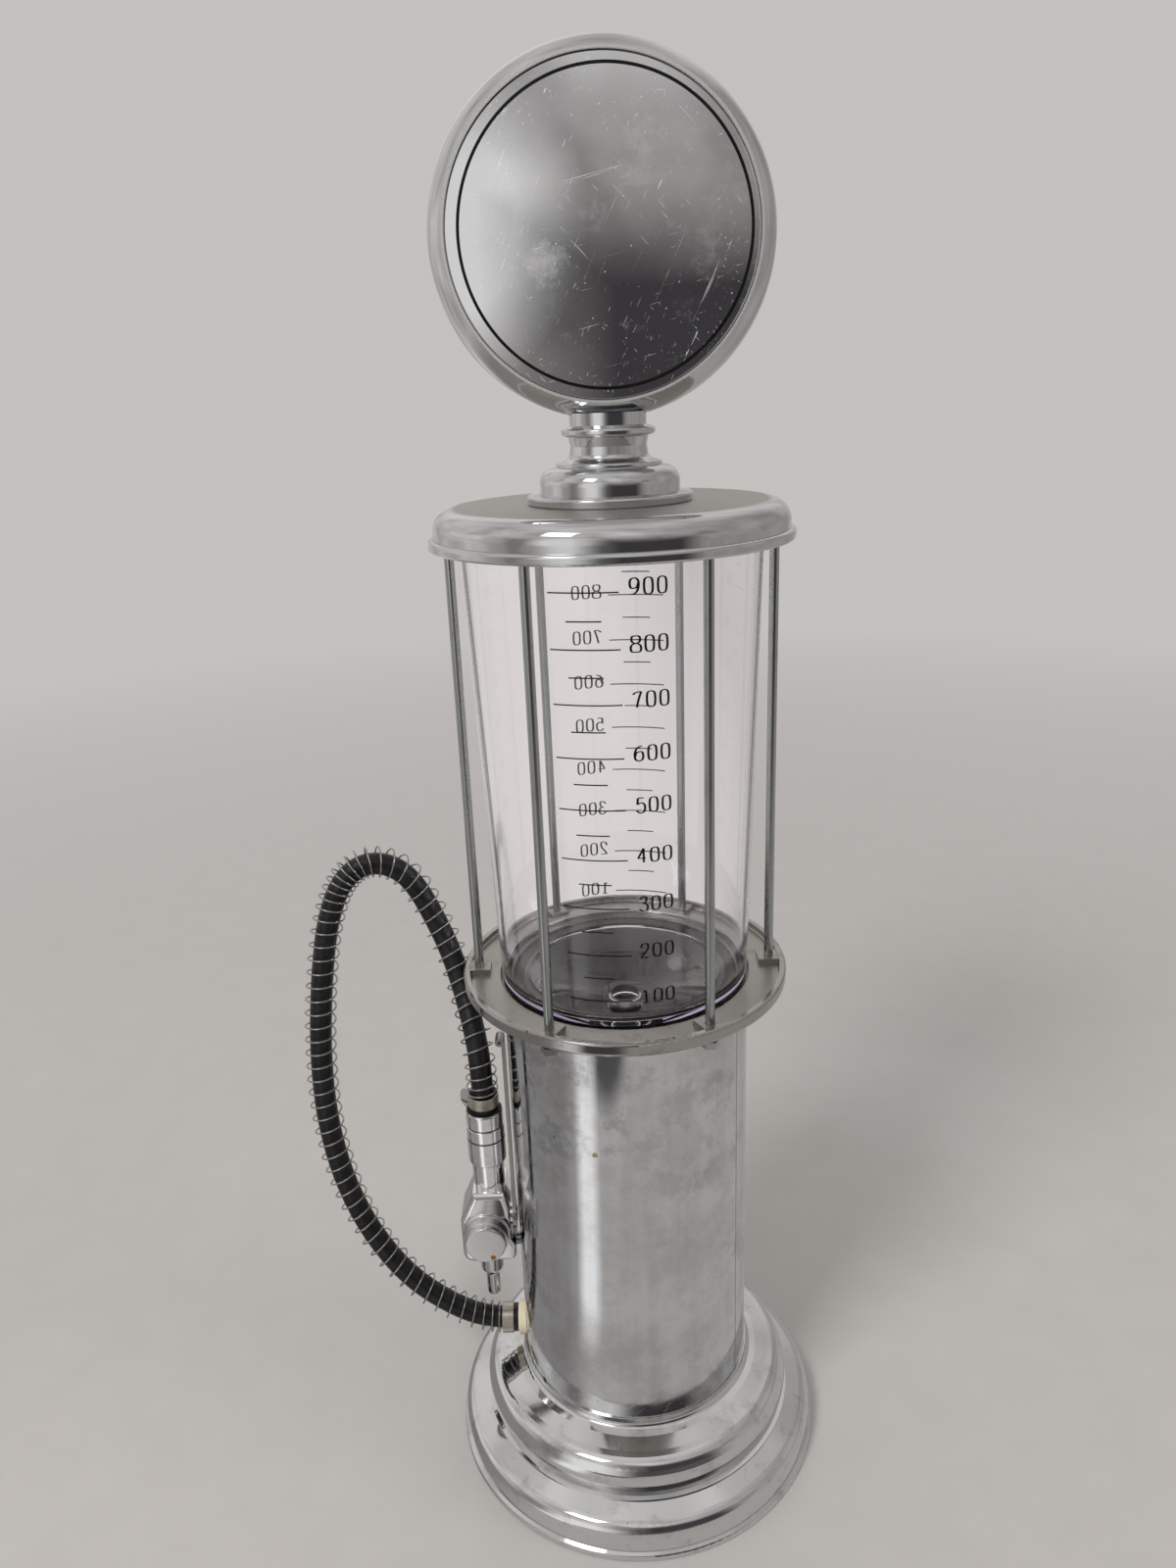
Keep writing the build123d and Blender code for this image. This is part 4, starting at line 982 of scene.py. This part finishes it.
def floor_finish():
    """Pale floor that runs into the backdrop, with a greyer table where metal shows it, on which a shadow
    spot, shade on the left and a glare are painted.
    """
    material, tree, shader = new_material("pale floor")
    rays = add(tree, "LightPath").outputs
    paper = noise(tree, place(tree), scale=40.0)
    paper_tint = mixed(tree, paper, (0.42, 0.40, 0.385, 1.0), (0.47, 0.45, 0.435, 1.0))
    feed(tree, shader, Base_Color=paper_tint, Roughness=0.4)
    point = along_axes(tree, place(tree))
    out = axis_distance(tree)
    # Far floor, as the camera and the clear plastic show it
    far_away = times(tree, rising(tree, out, *backdrop_reach), rays["Is Camera Ray"])
    look = glowing(tree, shader.outputs["BSDF"], far_away, backdrop_tint)
    behind_glass = times(tree, rising(tree, out, *glass_reach), rays["Is Transmission Ray"])
    glass_tint = mixed(tree, rising(tree, point["X"], *glass_shade_reach), glass_backdrop, glass_shade)
    look = glowing(tree, look, behind_glass, glass_tint)
    # Table as the metal shows it, with a painted shadow spot, painted shade on its left side and a painted
    # glare
    not_through = maths(tree, "SUBTRACT", 1.0, rays["Is Transmission Ray"])
    in_metal = times(tree, rays["Is Glossy Ray"], not_through)
    look = glowing(tree, look, times(tree, in_metal, table_share), table_tint)
    shadow_spot_inputs = {"Vector": place(tree), "Location": shadow_spot_place, "Scale": shadow_spot_size}
    shadow_spot = add(tree, "Mapping", shadow_spot_inputs, vector_type="TEXTURE").outputs["Vector"]
    shadowed = fading(tree, length(tree, shadow_spot), 0.8, 1.1, 0.9)
    look = glowing(tree, look, times(tree, shadowed, in_metal), shadow_spot_tint)
    bearing = maths(tree, "ARCTAN2", point["X"], times(tree, point["Y"], -1.0))
    # Painted shade over the table's left side, which only the metal shows
    left_shaded = fading(tree, bearing, *left_shade_bearing, 0.55)
    look = glowing(tree, look, times(tree, left_shaded, in_metal), left_shade_tint)
    glare = fading(tree, off_value(tree, bearing, glare_turn), *glare_width)
    glare = times(tree, glare, rising(tree, out, *glare_start))
    look = glowing(tree, look, times(tree, glare, in_metal), white)
    # Past the table's edge the metal shows the room
    past_table = times(tree, rising(tree, out, *table_edge), in_metal)
    see_past = add(tree, "BsdfTransparent").outputs["BSDF"]
    look = add(tree, "MixShader", {0: past_table, 1: look, 2: see_past}).outputs["Shader"]
    tree.links.new(look, tree.nodes["Material Output"].inputs["Surface"])
    return material


floor_bm = bmesh.new()
bmesh.ops.create_grid(floor_bm, x_segments=1, y_segments=1, size=floor_size)
floor = piece("floor", finished("floor", floor_bm), floor_finish())


# Cards that only the metal shows
def card(name, middle, target, width, height, solid, tint, strength):
    """Put up a glowing card that looks at a point, with soft edges outside its solid share."""
    card_bm = bmesh.new()
    card_bm.loops.layers.uv.new("UVMap")
    bmesh.ops.create_grid(card_bm, x_segments=1, y_segments=1, size=0.5, calc_uvs=True)
    turn = (Vector(target) - Vector(middle)).to_track_quat("Z", "Y").to_matrix()
    bmesh.ops.scale(card_bm, verts=card_bm.verts, vec=(width, height, 1.0))
    bmesh.ops.rotate(card_bm, verts=card_bm.verts, cent=(0.0, 0.0, 0.0), matrix=turn)
    bmesh.ops.translate(card_bm, verts=card_bm.verts, vec=middle)
    material, tree = new_material(name)[:2]
    across = along_axes(tree, add(tree, "TexCoord").outputs["UV"])
    off_middle = [off_value(tree, across[axis], 0.5) for axis in "XY"]
    shown = fading(tree, maths(tree, "MAXIMUM", *off_middle), solid / 2, 0.5)
    look = glowing(tree, add(tree, "BsdfTransparent").outputs["BSDF"], shown, tint, strength)
    tree.links.new(look, tree.nodes["Material Output"].inputs["Surface"])
    made = piece(name, finished(name, card_bm), material)
    made.visible_camera = False
    made.visible_diffuse = False
    made.visible_transmission = False
    made.visible_shadow = False
    return made


# The flag is a dark board in front, mostly lower than the sign. The glint stands for the key lamp.
key_place = (-0.75, -0.9, 1.5)
fill_place = (1.3, -0.4, 0.8)
object_middle = (0.0, 0.0, 0.24)
flag = card(
    "flag",
    middle=(0.27, -0.6, 0.24),
    target=(0.27, 0.0, 0.24),
    width=1.1,
    height=0.75,
    solid=0.41,
    tint=(0.06, 0.056, 0.06, 1.0),
    strength=1.0,
)
glint = card(
    "glint",
    middle=key_place,
    target=object_middle,
    width=0.55,
    height=0.55,
    solid=0.2,
    tint=white,
    strength=8.0,
)


# Lamps, which the metal doesn't show
def lamp(name, place_at, size, power):
    """Put up a soft square lamp that looks at the object's middle."""
    light = bpy.data.lights.new(name, "AREA")
    light.size = size
    light.energy = power
    made = bpy.data.objects.new(name, light)
    made.location = place_at
    made.rotation_euler = (Vector(object_middle) - Vector(place_at)).to_track_quat("-Z", "Y").to_euler()
    made.visible_glossy = False
    scene.collection.objects.link(made)


lamp("key", key_place, size=0.45, power=20.0)
lamp("fill", fill_place, size=0.6, power=5.0)

# Room round the object: pale boards, dimmer at the right under a pale ceiling, and a dark room in
# front with a white wall
wall_direction = (-0.48, -0.86, 0.15)
wall_reach = (0.26, 0.48)
wall_tint = (0.95, 0.94, 0.925, 1.0)
dim_tint = (0.24, 0.23, 0.225, 1.0)
world = bpy.data.worlds.new("soft room")
scene.world = world
world.use_nodes = True
world_tree = world.node_tree
world_rays = add(world_tree, "LightPath").outputs
direction = add(world_tree, "TexCoord").outputs["Generated"]
toward = along_axes(world_tree, direction)
clutter = rising(world_tree, noise(world_tree, direction, scale=2.7, detail=3.0, roughness=0.5), 0.4, 0.62)
dark_room = mixed(world_tree, clutter, (0.27, 0.26, 0.255, 1.0), (0.44, 0.42, 0.405, 1.0))
walled = fading(world_tree, away_from(world_tree, direction, wall_direction), *wall_reach)
dark_room = mixed(world_tree, walled, dark_room, wall_tint)
patchy = rising(world_tree, noise(world_tree, direction, scale=2.0, detail=2.0, roughness=0.5), 0.35, 0.65)
boards = mixed(world_tree, patchy, (0.46, 0.45, 0.44, 1.0), (0.80, 0.79, 0.775, 1.0))
at_right = rising(world_tree, toward["X"], 0.2, 0.7, 0.6)
under_ceiling = fading(world_tree, toward["Z"], 0.5, 0.85)
boards = mixed(world_tree, times(world_tree, at_right, under_ceiling), boards, dim_tint)
in_front = fading(world_tree, toward["Y"], -0.4, 0.0)
low_down = fading(world_tree, toward["Z"], 0.32, 0.6)
room = mixed(world_tree, times(world_tree, in_front, low_down), boards, dark_room)
shaded = rising(world_tree, toward["X"], 0.0, 0.3)
seen_through = mixed(world_tree, shaded, glass_backdrop, glass_shade)
room = mixed(world_tree, world_rays["Is Transmission Ray"], room, seen_through)
room = mixed(world_tree, world_rays["Is Camera Ray"], room, backdrop_tint)
world_tree.links.new(room, world_tree.nodes["Background"].inputs["Color"])

# Camera
camera_place = (-0.0098, -0.3664, 0.3965)
camera_right = Vector((0.9992, -0.0112, -0.0373))
camera_down = Vector((-0.0389, -0.3244, -0.9451))
camera_ahead = Vector((-0.0016, 0.9459, -0.3246))
camera_data = bpy.data.cameras.new("camera")
camera_data.sensor_width = 36.0
camera_data.lens = 26.17
camera = bpy.data.objects.new("camera", camera_data)
camera_turn = Matrix((camera_right, -camera_down, -camera_ahead)).transposed().to_4x4()
camera.matrix_world = Matrix.Translation(camera_place) @ camera_turn
scene.collection.objects.link(camera)
scene.camera = camera
scene.view_settings.view_transform = "Standard"
